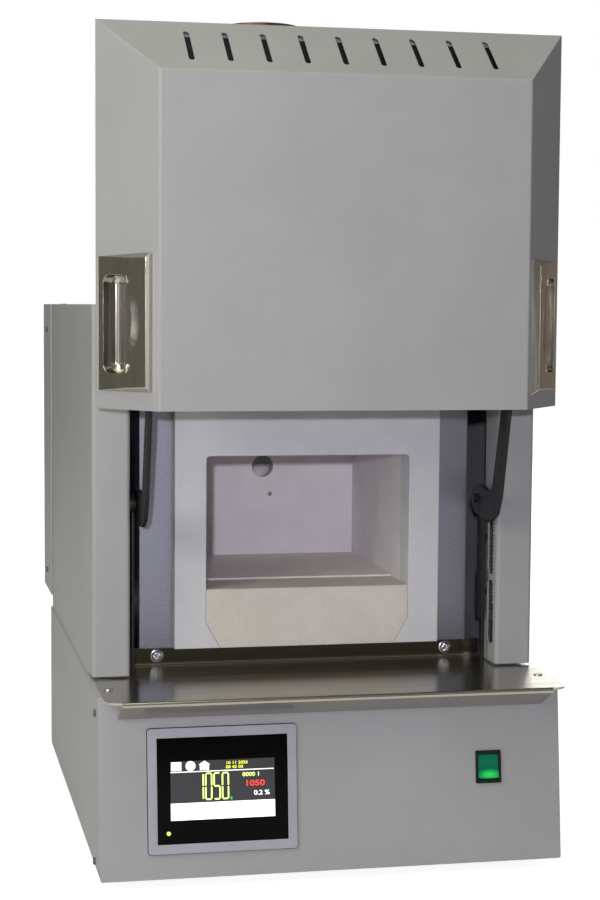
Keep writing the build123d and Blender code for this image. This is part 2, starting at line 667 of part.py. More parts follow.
# Hearth insulation: fibre board under the hearth plate, notched for the sill brick
with BuildPart() as hearth_insulation:
    with BuildSketch(Plane.XY.offset(CORE_BOTTOM)) as bed_plan:
        with Locations((0, (BOARD_FRONT_Y + CHAMBER_BACK_Y) / 2)):
            Rectangle(2 * COLLAR_HALF, CHAMBER_BACK_Y - BOARD_FRONT_Y)
        with Locations((0, (BOARD_FRONT_Y + HEARTH_FRONT_Y) / 2)):
            Rectangle(2 * CHAMBER_HALF + 0.4, HEARTH_FRONT_Y - BOARD_FRONT_Y + 0.2, mode=Mode.SUBTRACT)
    extrude(amount=HEARTH_TOP - HEARTH_THICKNESS - CORE_BOTTOM)
save(hearth_insulation.part, "hearth_insulation")

# Heater plates: fibre side walls of the chamber with the wire moulded in, and their leads
PLATE_LOW = HEARTH_TOP - HEARTH_THICKNESS
LEAD_START_Y = CHAMBER_BACK_Y - 30
for side, node in both_sides("heater_plate"):
    with BuildPart() as heater_plate:
        with BuildSketch(Plane.XY.offset(PLATE_LOW)) as plate_plan:
            with Locations((side * (CHAMBER_HALF + COLLAR_HALF) / 2, (BOARD_FRONT_Y + CHAMBER_BACK_Y) / 2)):
                Rectangle(COLLAR_HALF - CHAMBER_HALF, CHAMBER_BACK_Y - BOARD_FRONT_Y)
        extrude(amount=CHAMBER_TOP - PLATE_LOW)
        with BuildSketch(Plane.XZ.offset(-LEAD_START_Y)) as lead_pockets:
            with Locations(*[place for place in LEAD_PLACES if place[0] * side > 0]):
                Circle(LEAD_RADIUS)
        extrude(amount=-(CHAMBER_BACK_Y - LEAD_START_Y), mode=Mode.SUBTRACT)
    save(heater_plate.part, node)

LEAD_END_Y = 150.0
with BuildPart() as heater_leads:
    with BuildSketch(Plane.XZ.offset(-LEAD_START_Y)) as lead_ends:
        with Locations(*LEAD_PLACES):
            Circle(LEAD_RADIUS)
    extrude(amount=-(LEAD_END_Y - LEAD_START_Y))
save(heater_leads.part, "heater_leads")

# Roof insulation: fibre board over the chamber
with BuildPart() as roof_insulation:
    with BuildSketch(Plane.XY.offset(CHAMBER_TOP)) as roof_plan:
        with Locations((0, (BOARD_FRONT_Y + CHAMBER_BACK_Y) / 2)):
            Rectangle(2 * COLLAR_HALF, CHAMBER_BACK_Y - BOARD_FRONT_Y)
    extrude(amount=CORE_TOP - CHAMBER_TOP)
save(roof_insulation.part, "roof_insulation")

# Back insulation: fibre board with the vent, the upright flue bore and the probe hole
with BuildPart() as rear_insulation:
    with BuildSketch(Plane.XZ.offset(-CHAMBER_BACK_Y)) as back_board:
        with Locations((0, (CORE_BOTTOM + CORE_TOP) / 2)):
            Rectangle(2 * COLLAR_HALF, CORE_TOP - CORE_BOTTOM)
        with Locations((PROBE_X, PROBE_Z)):
            Circle(PROBE_RADIUS, mode=Mode.SUBTRACT)
        with Locations(*LEAD_PLACES):
            Circle(LEAD_RADIUS, mode=Mode.SUBTRACT)
    extrude(amount=-(CORE_BACK_Y - CHAMBER_BACK_Y))
    with BuildSketch(Plane.XZ.offset(-CHAMBER_BACK_Y)) as vent_face:
        with Locations((0, VENT_Z)):
            Circle(VENT_RADIUS)
    extrude(amount=-(FLUE_Y - CHAMBER_BACK_Y), mode=Mode.SUBTRACT)
    with BuildSketch(Plane.XY.offset(VENT_Z - VENT_RADIUS - 3)) as flue_bore:
        with Locations((0, FLUE_Y)):
            Circle(FLUE_RADIUS)
    extrude(amount=200, mode=Mode.SUBTRACT)
save(rear_insulation.part, "rear_insulation")

# Side insulation: fibre boards between the heater plates and the case
with BuildPart() as side_insulation:
    with BuildSketch(Plane.XY.offset(CORE_BOTTOM)) as packing_plan:
        for side in (-1, 1):
            with Locations((side * (COLLAR_HALF + CASE_HALF - CASE_SHEET) / 2,
                            (CASE_FRONT_Y + CASE_SHEET + CORE_BACK_Y) / 2)):
                Rectangle(CASE_HALF - CASE_SHEET - COLLAR_HALF, CORE_BACK_Y - CASE_FRONT_Y - CASE_SHEET)
    extrude(amount=CORE_TOP - CORE_BOTTOM)
save(side_insulation.part, "side_insulation")

# Thermocouple: ceramic sheath through the back board, with its terminal head
PROBE_TIP_Y = CHAMBER_BACK_Y + 12
PROBE_HEAD_Y = 140.0
with BuildPart() as thermocouple:
    with BuildSketch(Plane.XZ.offset(-PROBE_TIP_Y)) as sheath:
        with Locations((PROBE_X, PROBE_Z)):
            Circle(PROBE_RADIUS)
    extrude(amount=-(PROBE_HEAD_Y - PROBE_TIP_Y))
    with BuildSketch(Plane.XZ.offset(-PROBE_HEAD_Y)) as probe_head:
        with Locations((PROBE_X, PROBE_Z)):
            RectangleRounded(34, 22, 4)
    extrude(amount=-16)
save(thermocouple.part, "thermocouple")

# Flue tube: ceramic pipe from the vent up into the chimney
FLUE_LOW = VENT_Z + VENT_RADIUS + 2
FLUE_HIGH = CASING_TOP + 20
with BuildPart() as flue_tube:
    with BuildSketch(Plane.XY.offset(FLUE_LOW)) as flue_ring:
        with Locations((0, FLUE_Y)):
            Circle(FLUE_RADIUS)
            Circle(FLUE_RADIUS - FLUE_WALL, mode=Mode.SUBTRACT)
    extrude(amount=FLUE_HIGH - FLUE_LOW)
save(flue_tube.part, "flue_tube")

# Chimney: plain steel pipe on a round flange with four screws
FLANGE_RADIUS = 60.0
FLANGE_SHEET = 2.0
CHIMNEY_SCREW_RING = 52.0
with BuildPart() as chimney:
    with BuildSketch(Plane.XY.offset(CASING_TOP)) as chimney_foot:
        with Locations((0, FLUE_Y)):
            Circle(FLANGE_RADIUS)
            Circle(CHIMNEY_RADIUS - CHIMNEY_WALL, mode=Mode.SUBTRACT)
    extrude(amount=FLANGE_SHEET)
    with BuildSketch(Plane.XY.offset(CASING_TOP)) as chimney_ring:
        with Locations((0, FLUE_Y)):
            Circle(CHIMNEY_RADIUS)
            Circle(CHIMNEY_RADIUS - CHIMNEY_WALL, mode=Mode.SUBTRACT)
    extrude(amount=CHIMNEY_TOP - CASING_TOP)
save(chimney.part, "chimney")

# Top screws: four on the chimney flange and four at the lid's corners
with BuildPart() as top_screws:
    with Locations((0, FLUE_Y, CASING_TOP + FLANGE_SHEET)):
        with PolarLocations(CHIMNEY_SCREW_RING, 4, start_angle=45):
            Cylinder(3.4, 2, align=(Align.CENTER, Align.CENTER, Align.MIN))
    with Locations((0, (COLUMN_Y + BASE_BACK_Y) / 2, CASING_TOP)):
        with GridLocations(CASING_WIDTH - 24, BASE_BACK_Y - COLUMN_Y - 24, 2, 2):
            Cylinder(3.4, 2, align=(Align.CENTER, Align.CENTER, Align.MIN))
save(top_screws.part, "top_screws")

# Pivot brackets: upright bars between the arms and the columns, bolted to the columns.
# Each has an eye round the pivot, a wider foot, a lug with a bolt and a leg on the tray
BRACKET_INNER = 172.6
BRACKET_SHEET = 2.6
BRACKET_FRONT_Y = -200.0
BRACKET_BAR_WIDTH = 15.0
BRACKET_FOOT_WIDTH = 22.0
BRACKET_FOOT_Z = 229.0
BRACKET_STEP_Z = 263.0
BRACKET_LEG_WIDTH = 4.5
LUG_PLACE = (-186.5, 224.0)
BRACKET_EYE_RADIUS = 11.0
BUSH_NOSE = 6.3
PAD_PLACES = ((-189.0, 246.0), (-189.0, 300.0))
with BuildPart() as pivot_brackets:
    for side in (-1, 1):
        with BuildSketch(Plane.YZ.offset(side * BRACKET_INNER)) as bracket_plate:
            with BuildLine():
                Polyline(
                    (BRACKET_FRONT_Y, TRAY_TOP),
                    (BRACKET_FRONT_Y + BRACKET_LEG_WIDTH, TRAY_TOP),
                    (BRACKET_FRONT_Y + BRACKET_LEG_WIDTH, BRACKET_FOOT_Z),
                    (BRACKET_FRONT_Y + BRACKET_FOOT_WIDTH, BRACKET_FOOT_Z),
                    (BRACKET_FRONT_Y + BRACKET_FOOT_WIDTH, BRACKET_STEP_Z),
                    (BRACKET_FRONT_Y + BRACKET_BAR_WIDTH, BRACKET_STEP_Z + 3),
                    (BRACKET_FRONT_Y + BRACKET_BAR_WIDTH, PIVOT_Z),
                    (BRACKET_FRONT_Y, PIVOT_Z),
                    close=True,
                )
            make_face()
            with Locations(LUG_PLACE):
                Circle(6.5)
            with Locations((PIVOT_Y, PIVOT_Z)):
                Circle(BRACKET_EYE_RADIUS)
                Circle(BUSH_NOSE + 0.1, mode=Mode.SUBTRACT)
        extrude(amount=side * BRACKET_SHEET)
        with BuildSketch(Plane.YZ.offset(side * (BRACKET_INNER + BRACKET_SHEET))) as bracket_pads:
            with Locations(*PAD_PLACES):
                Circle(3.5)
        extrude(amount=side * (COLUMN_INNER - BRACKET_INNER - BRACKET_SHEET))
        with BuildSketch(Plane.YZ.offset(side * (BRACKET_INNER - 1))) as lug_bolt:
            with Locations(LUG_PLACE):
                Circle(3)
        extrude(amount=side * 1)
save(pivot_brackets.part, "pivot_brackets")

# Bushes: flanged bearings in the columns for the lower and upper pivots. Their noses
# pass through the eyes of the brackets
BUSH_FLANGE = 8.5
BUSH_START = ARM_OUTER + 0.5
FLANGE_START = BRACKET_INNER + BRACKET_SHEET + 0.4
with BuildPart() as pivot_bushes:
    for side in (-1, 1):
        for bush_z in (PIVOT_Z, UPPER_PIVOT_Z):
            with BuildSketch(Plane.YZ.offset(side * BUSH_START)) as bush_nose:
                with Locations((PIVOT_Y, bush_z)):
                    Circle(BUSH_NOSE)
            extrude(amount=side * (COLUMN_INNER + SHEET + 0.5 - BUSH_START))
            with BuildSketch(Plane.YZ.offset(side * FLANGE_START)) as bush_head:
                with Locations((PIVOT_Y, bush_z)):
                    Circle(BUSH_FLANGE)
            extrude(amount=side * (COLUMN_INNER - FLANGE_START))
            with BuildSketch(Plane.YZ.offset(side * BUSH_START)) as bush_bore:
                with Locations((PIVOT_Y, bush_z)):
                    Circle(PIN_RADIUS + RUN_GAP)
            extrude(amount=side * 20, mode=Mode.SUBTRACT)
save(pivot_bushes.part, "pivot_bushes")

# Lower arms: flat bars that drop from the door pins, then hook back to the pivots.
# The outline runs from the door end down the front edge, round the heel to the eye,
# and back over the notch, as places from the pivot with a corner radius each
EYE_RADIUS = 14.0
DOOR_EYE_RADIUS = 10.0
ARM_OUTLINE = (
    (-99.5, 111.0, 0),
    (-72.0, 8.6, 12),
    (-61.8, -9.5, 10),
    (-43.7, -18.0, 10),
    (-14.7, -17.0, 6),
    (0.0, -14.0, 0),
    (0.0, 14.0, 0),
    (-16.0, 14.3, 3),
    (-32.3, 10.5, 8),
    (-49.4, 13.3, 6),
    (-80.5, 114.0, 0),
)
for side, node in both_sides("lower_arm"):
    with BuildPart() as lower_arm:
        with BuildSketch(Plane.YZ.offset(side * ARM_INNER)) as arm_face:
            with BuildLine():
                FilletPolyline(
                    *[(PIVOT_Y + y, PIVOT_Z + z) for y, z, corner in ARM_OUTLINE],
                    radius=[corner for y, z, corner in ARM_OUTLINE],
                    close=True,
                )
            make_face()
            with Locations((PIVOT_Y, PIVOT_Z)):
                Circle(EYE_RADIUS)
                Circle(PIN_RADIUS + 2, mode=Mode.SUBTRACT)
            with Locations((DOOR_PIVOT_Y, DOOR_PIVOT_Z)):
                Circle(DOOR_EYE_RADIUS)
                Circle(PIN_RADIUS + RUN_GAP, mode=Mode.SUBTRACT)
        extrude(amount=side * ARM_SHEET)
    save(lower_arm.part, node)

# Crank shafts: lower pivots fixed in the arms, with a hexagon head on the inner side
# and a crank inside each column
SHAFT_HEAD_X = 163.2
SHAFT_HEAD_RADIUS = 5.4
CRANK_START = COLUMN_INNER + SHEET + 1.2
CRANK_THICKNESS = 3.0
CRANK_PIN_RADIUS = 2.5
CRANK_PIN_END = SPRING_X + 4.5
with BuildPart() as crank_shafts:
    for side in (-1, 1):
        with BuildSketch(Plane.YZ.offset(side * SHAFT_HEAD_X)) as shaft_head:
            with Locations((PIVOT_Y, PIVOT_Z)):
                RegularPolygon(SHAFT_HEAD_RADIUS, 6)
        extrude(amount=side * (ARM_INNER - SHAFT_HEAD_X))
        with BuildSketch(Plane.YZ.offset(side * ARM_INNER)) as shaft_core:
            with Locations((PIVOT_Y, PIVOT_Z)):
                Circle(PIN_RADIUS)
        extrude(amount=side * (CRANK_START - ARM_INNER))
        with BuildSketch(Plane.YZ.offset(side * ARM_INNER)) as shaft_boss:
            with Locations((PIVOT_Y, PIVOT_Z)):
                Circle(PIN_RADIUS + 2)
        extrude(amount=side * ARM_SHEET)
        with BuildSketch(Plane.YZ.offset(side * CRANK_START)) as crank_face:
            with Locations((PIVOT_Y, PIVOT_Z)):
                Circle(6)
            with Locations((PIVOT_Y + CRANK_Y, PIVOT_Z + CRANK_Z)):
                Circle(5)
            make_hull()
        extrude(amount=side * CRANK_THICKNESS)
        with BuildSketch(Plane.YZ.offset(side * (CRANK_START + CRANK_THICKNESS))) as crank_pin:
            with Locations((PIVOT_Y + CRANK_Y, PIVOT_Z + CRANK_Z)):
                Circle(CRANK_PIN_RADIUS)
        extrude(amount=side * (CRANK_PIN_END - CRANK_START - CRANK_THICKNESS))
save(crank_shafts.part, "crank_shafts")

# Spring rods: each hangs from a crank pin and passes down through its spring and seat
ROD_EYE_HALF = 2.5
ROD_EYE_RADIUS = 5.5
ROD_DISC_LOW = 324.0
ROD_DISC_THICKNESS = 1.4
ROD_DISC_RADIUS = 8.8
ROD_END_Z = 205.0
CRANK_PIN_Z = PIVOT_Z + CRANK_Z
with BuildPart() as spring_rods:
    for side in (-1, 1):
        with BuildSketch(Plane.YZ.offset(side * (SPRING_X - ROD_EYE_HALF))) as rod_eye:
            with Locations((SPRING_Y, (CRANK_PIN_Z + ROD_DISC_LOW) / 2)):
                Rectangle(6, CRANK_PIN_Z - ROD_DISC_LOW)
            with Locations((SPRING_Y, CRANK_PIN_Z)):
                Circle(ROD_EYE_RADIUS)
                Circle(CRANK_PIN_RADIUS + RUN_GAP, mode=Mode.SUBTRACT)
        extrude(amount=side * 2 * ROD_EYE_HALF)
        with BuildSketch(Plane.XY.offset(ROD_DISC_LOW)) as rod_disc:
            with Locations((side * SPRING_X, SPRING_Y)):
                Circle(ROD_DISC_RADIUS)
        extrude(amount=ROD_DISC_THICKNESS)
        with BuildSketch(Plane.XY.offset(ROD_END_Z)) as rod_section:
            with Locations((side * SPRING_X, SPRING_Y)):
                Circle(ROD_RADIUS)
        extrude(amount=ROD_DISC_LOW - ROD_END_Z)
        with BuildSketch(Plane.XY.offset(ROD_END_Z + 3)) as rod_nut:
            with Locations((side * SPRING_X, SPRING_Y)):
                RegularPolygon(4.6, 6)
        extrude(amount=4.5)
save(spring_rods.part, "spring_rods")

# Spring seats: slotted blocks across the columns, through which the rods slide
SEAT_SLOT = 15.0
SEAT_DEPTH = 28.0
SEAT_INNER = COLUMN_INNER + SHEET
SEAT_OUTER = CASING_WIDTH / 2 - SHEET
with BuildPart() as spring_seats:
    for side in (-1, 1):
        with BuildSketch(Plane.XY.offset(SEAT_TOP - SEAT_THICKNESS)) as seat_plan:
            with Locations((side * (SEAT_INNER + SEAT_OUTER) / 2, SPRING_Y)):
                Rectangle(SEAT_OUTER - SEAT_INNER, SEAT_DEPTH)
            with Locations((side * SPRING_X, SPRING_Y)):
                SlotOverall(SEAT_SLOT, 6.4, rotation=90, mode=Mode.SUBTRACT)
        extrude(amount=SEAT_THICKNESS)
save(spring_seats.part, "spring_seats")


# Counterbalance springs: open coils of round wire, whose ends turn in to the rod's line
# and stand square on the seats
def biarc(start, start_way, end, end_way):
    """Joins two points with two arcs that meet smoothly and keep the end directions."""
    gap = end - start
    ways = start_way + end_way
    spread = 2 * (1 - start_way.dot(end_way))
    along = gap.dot(ways)
    reach = (math.sqrt(along * along + spread * gap.dot(gap)) - along) / spread
    joint = (start + end + (start_way - end_way) * reach) / 2
    first = TangentArc(start, joint, tangent=start_way)
    TangentArc(joint, end, tangent=first % 1)


def least_gap(path, turns):
    """Smallest clear distance between the wire and the wire one turn or more away."""
    steps = 24 * (turns + 1)
    points = [path @ (i / steps) for i in range(steps + 1)]
    apart = []
    for i, point in enumerate(points):
        apart += [(point - other).length for other in points[i + 12:]]
    return min(apart) - SPRING_WIRE


def coil_point(middle, low, turn, hand):
    """A point of the coil and its direction, after a number of turns."""
    angle = hand * 2 * math.pi * turn
    climb = SPRING_PITCH / (2 * math.pi)
    point = middle + Vector(
        SPRING_RADIUS * math.cos(angle), SPRING_RADIUS * math.sin(angle), low + SPRING_PITCH * turn
    )
    way = Vector(
        -hand * SPRING_RADIUS * math.sin(angle), hand * SPRING_RADIUS * math.cos(angle), climb
    ).normalized()
    return point, way


SPRING_FOOT = SEAT_TOP + 0.1
END_RISE = 5.5
END_X = 6.2
END_Y = 4.4
SPRING_LOW = SPRING_FOOT + END_RISE
SPRING_HIGH = SPRING_LOW + SPRING_TURNS * SPRING_PITCH
for side, node in both_sides("counter_spring"):
    middle = Vector(side * SPRING_X, SPRING_Y, 0)
    half_turns = [coil_point(middle, SPRING_LOW, n / 2, -side) for n in range(2 * SPRING_TURNS + 1)]
    up = Vector(0, 0, 1)
    foot = middle + Vector(END_X, side * END_Y, SPRING_FOOT)
    head = middle + Vector(END_X, -side * END_Y, SPRING_HIGH + END_RISE)
    with BuildPart() as counter_spring:
        with BuildLine() as spring_path:
            Line(foot, foot + up * SPRING_WIRE)
            biarc(foot + up * SPRING_WIRE, up, *half_turns[0])
            for (point, way), (next_point, next_way) in zip(half_turns, half_turns[1:]):
                biarc(point, way, next_point, next_way)
            biarc(*half_turns[-1], head - up * SPRING_WIRE, up)
            Line(head - up * SPRING_WIRE, head)
        with BuildSketch(Plane(origin=foot, z_dir=up)) as wire_section:
            Circle(SPRING_WIRE / 2)
        sweep()
    save(counter_spring.part, node)
    print(node, "least gap between turns, mm:", round(least_gap(spring_path.wire(), SPRING_TURNS), 2))

# Upper arms: straight bars on one cross shaft, level with the lower pair
UPPER_ARM_HALF = 8.0
for side, node in both_sides("upper_arm"):
    with BuildPart() as upper_arm:
        with BuildSketch(Plane.YZ.offset(side * ARM_INNER)) as upper_face:
            with Locations((PIVOT_Y, UPPER_PIVOT_Z), (DOOR_PIVOT_Y, UPPER_DOOR_PIVOT_Z)):
                Circle(UPPER_ARM_HALF)
            make_hull()
            with Locations((PIVOT_Y, UPPER_PIVOT_Z)):
                Circle(PIN_RADIUS + 1, mode=Mode.SUBTRACT)
            with Locations((DOOR_PIVOT_Y, UPPER_DOOR_PIVOT_Z)):
                Circle(PIN_RADIUS + OPEN_GAP, mode=Mode.SUBTRACT)
        extrude(amount=side * ARM_SHEET)
    save(upper_arm.part, node)

# Cross shaft: ties both upper arms together over the insulation, with stub journals
with BuildPart() as cross_shaft:
    with BuildSketch(Plane.YZ.offset(-ARM_OUTER)) as shaft_section:
        with Locations((PIVOT_Y, UPPER_PIVOT_Z)):
            Circle(PIN_RADIUS + 1)
    extrude(amount=2 * ARM_OUTER)
    with BuildSketch(Plane.YZ.offset(-COLUMN_INNER - SHEET - 2)) as stub_section:
        with Locations((PIVOT_Y, UPPER_PIVOT_Z)):
            Circle(PIN_RADIUS)
    extrude(amount=2 * (COLUMN_INNER + SHEET + 2))
save(cross_shaft.part, "cross_shaft")

# Door cover: one sheet folded to a flat front with three sloping borders and vent slots
DOOR_TOP = DOOR_BOTTOM + DOOR_HEIGHT
BEVEL_LENGTH = math.hypot(BEVEL, DOOR_DEPTH)
BEVEL_SIDE_WALL = SHEET * BEVEL_LENGTH / DOOR_DEPTH
FRONT_Y = DOOR_BACK_Y - DOOR_DEPTH


def door_rectangle(plane_y, wall, floor):
    """Draws the door's outline at one depth, drawn in by a wall and a floor thickness."""
    inset = BEVEL * (DOOR_BACK_Y - plane_y) / DOOR_DEPTH + wall
    low = DOOR_BOTTOM + floor
    high = DOOR_TOP - inset
    with Locations((0, (low + high) / 2)):
        Rectangle(DOOR_WIDTH - 2 * inset, high - low)


def bevel_plane(side):
    """Plane on a side border at the handle's mid height: X runs from back to front."""
    return Plane(
        origin=(side * DOOR_WIDTH / 2, DOOR_BACK_Y, DOOR_BOTTOM + HANDLE_MIDDLE),
        x_dir=(-side * BEVEL, -DOOR_DEPTH, 0),
        z_dir=(side * DOOR_DEPTH, -BEVEL, 0),
    )


TOP_BEVEL = Plane(
    origin=(0, DOOR_BACK_Y - DOOR_DEPTH / 2, DOOR_TOP - BEVEL / 2),
    x_dir=(1, 0, 0),
    z_dir=(0, -BEVEL, DOOR_DEPTH),
)
HANDLE_HEIGHT = 119.2
HANDLE_MIDDLE = 75.8
HANDLE_TOP_FLARE = 3.0
HANDLE_BACK = 4.4
HANDLE_CREASE = 43.5
HANDLE_FRONT = 70.8
GRIP_HEIGHT = 86.6
CUP_BACK = 11.0
CUP_WALL = 1.6
SCOOP_SAGITTA = 14.3
TOP_LIP_LOW = 766.0
TOP_LIP_HALF = 190.0
BOTTOM_FLANGE_DEPTH = 44.0
GAP_FRONT_Y = FRONT_Y + BOTTOM_FLANGE_DEPTH
GAP_BACK_HALF = DOOR_WIDTH / 2 - BEVEL_SIDE_WALL
GAP_FRONT_HALF = GAP_BACK_HALF - BEVEL * (DOOR_BACK_Y - GAP_FRONT_Y) / DOOR_DEPTH
with BuildPart() as door_cover:
    with BuildSketch(Plane.XZ.offset(-DOOR_BACK_Y)) as cover_back:
        door_rectangle(DOOR_BACK_Y, 0, 0)
    with BuildSketch(Plane.XZ.offset(-FRONT_Y)) as cover_front:
        door_rectangle(FRONT_Y, 0, 0)
    loft()
    front_rim = door_cover.edges().group_by(Axis.Y)[0]
    fillet(front_rim.filter_by(lambda e: e.center().Z > DOOR_BOTTOM + 1), 3)
    with BuildSketch(Plane.XZ.offset(-DOOR_BACK_Y)) as hollow_back:
        door_rectangle(DOOR_BACK_Y, BEVEL_SIDE_WALL, SHEET)
    with BuildSketch(Plane.XZ.offset(-FRONT_Y - SHEET)) as hollow_front:
        door_rectangle(FRONT_Y + SHEET, BEVEL_SIDE_WALL, SHEET)
    loft(mode=Mode.SUBTRACT)
    with BuildSketch(Plane.XY.offset(DOOR_BOTTOM - 1)) as bottom_gap:
        with BuildLine():
            Polyline(
                (-GAP_FRONT_HALF, GAP_FRONT_Y),
                (GAP_FRONT_HALF, GAP_FRONT_Y),
                (GAP_BACK_HALF, DOOR_BACK_Y),
                (-GAP_BACK_HALF, DOOR_BACK_Y),
                close=True,
            )
        make_face()
    extrude(amount=1 + SHEET, mode=Mode.SUBTRACT)
    with BuildSketch(TOP_BEVEL.offset(-8)) as vent_slots:
        with GridLocations(SLOT_PITCH, 0, SLOT_COUNT, 1):
            SlotOverall(SLOT_LENGTH, SLOT_WIDTH, rotation=90)
    extrude(amount=16, mode=Mode.SUBTRACT)
    for side in (-1, 1):
        with BuildSketch(bevel_plane(side).offset(-6)) as handle_cut:
            with Locations(((CUP_BACK + HANDLE_CREASE + SCOOP_SAGITTA) / 2, 0)):
                Rectangle(HANDLE_CREASE + SCOOP_SAGITTA - CUP_BACK + 4, GRIP_HEIGHT + 2 * CUP_WALL + 1)
        extrude(amount=12, mode=Mode.SUBTRACT)
    with BuildSketch(Plane.XZ.offset(-DOOR_BACK_Y + SHEET)) as top_lip:
        with Locations((0, (TOP_LIP_LOW + DOOR_TOP - SHEET) / 2)):
            Rectangle(2 * TOP_LIP_HALF, DOOR_TOP - SHEET - TOP_LIP_LOW)
    extrude(amount=-SHEET)
save(door_cover.part, "door_cover")

# Door back plate: closes the cover behind and carries the insulation and the brackets
BACK_PLATE_HALF = 157.0
PLATE_LOW_Z = DOOR_BOTTOM + 3
PLATE_HIGH_Z = TOP_LIP_LOW - 0.3
with BuildPart() as door_back_plate:
    with BuildSketch(Plane.XZ.offset(-DOOR_BACK_Y + SHEET)) as back_plate_face:
        with Locations((0, (PLATE_LOW_Z + PLATE_HIGH_Z) / 2)):
            Rectangle(2 * BACK_PLATE_HALF, PLATE_HIGH_Z - PLATE_LOW_Z)
    extrude(amount=-SHEET)
save(door_back_plate.part, "door_back_plate")

# Door insulation: fibre plug that closes the chamber mouth
PLUG_HALF = 129.0
PLUG_LOW = 441.0
PLUG_HIGH = 676.0
PLUG_BACK_Y = -235.1
with BuildPart() as door_insulation:
    with BuildSketch(Plane.XZ.offset(-DOOR_BACK_Y)) as plug_face:
        with Locations((0, (PLUG_LOW + PLUG_HIGH) / 2)):
            Rectangle(2 * PLUG_HALF, PLUG_HIGH - PLUG_LOW)
    extrude(amount=-(PLUG_BACK_Y - DOOR_BACK_Y))
save(door_insulation.part, "door_insulation")

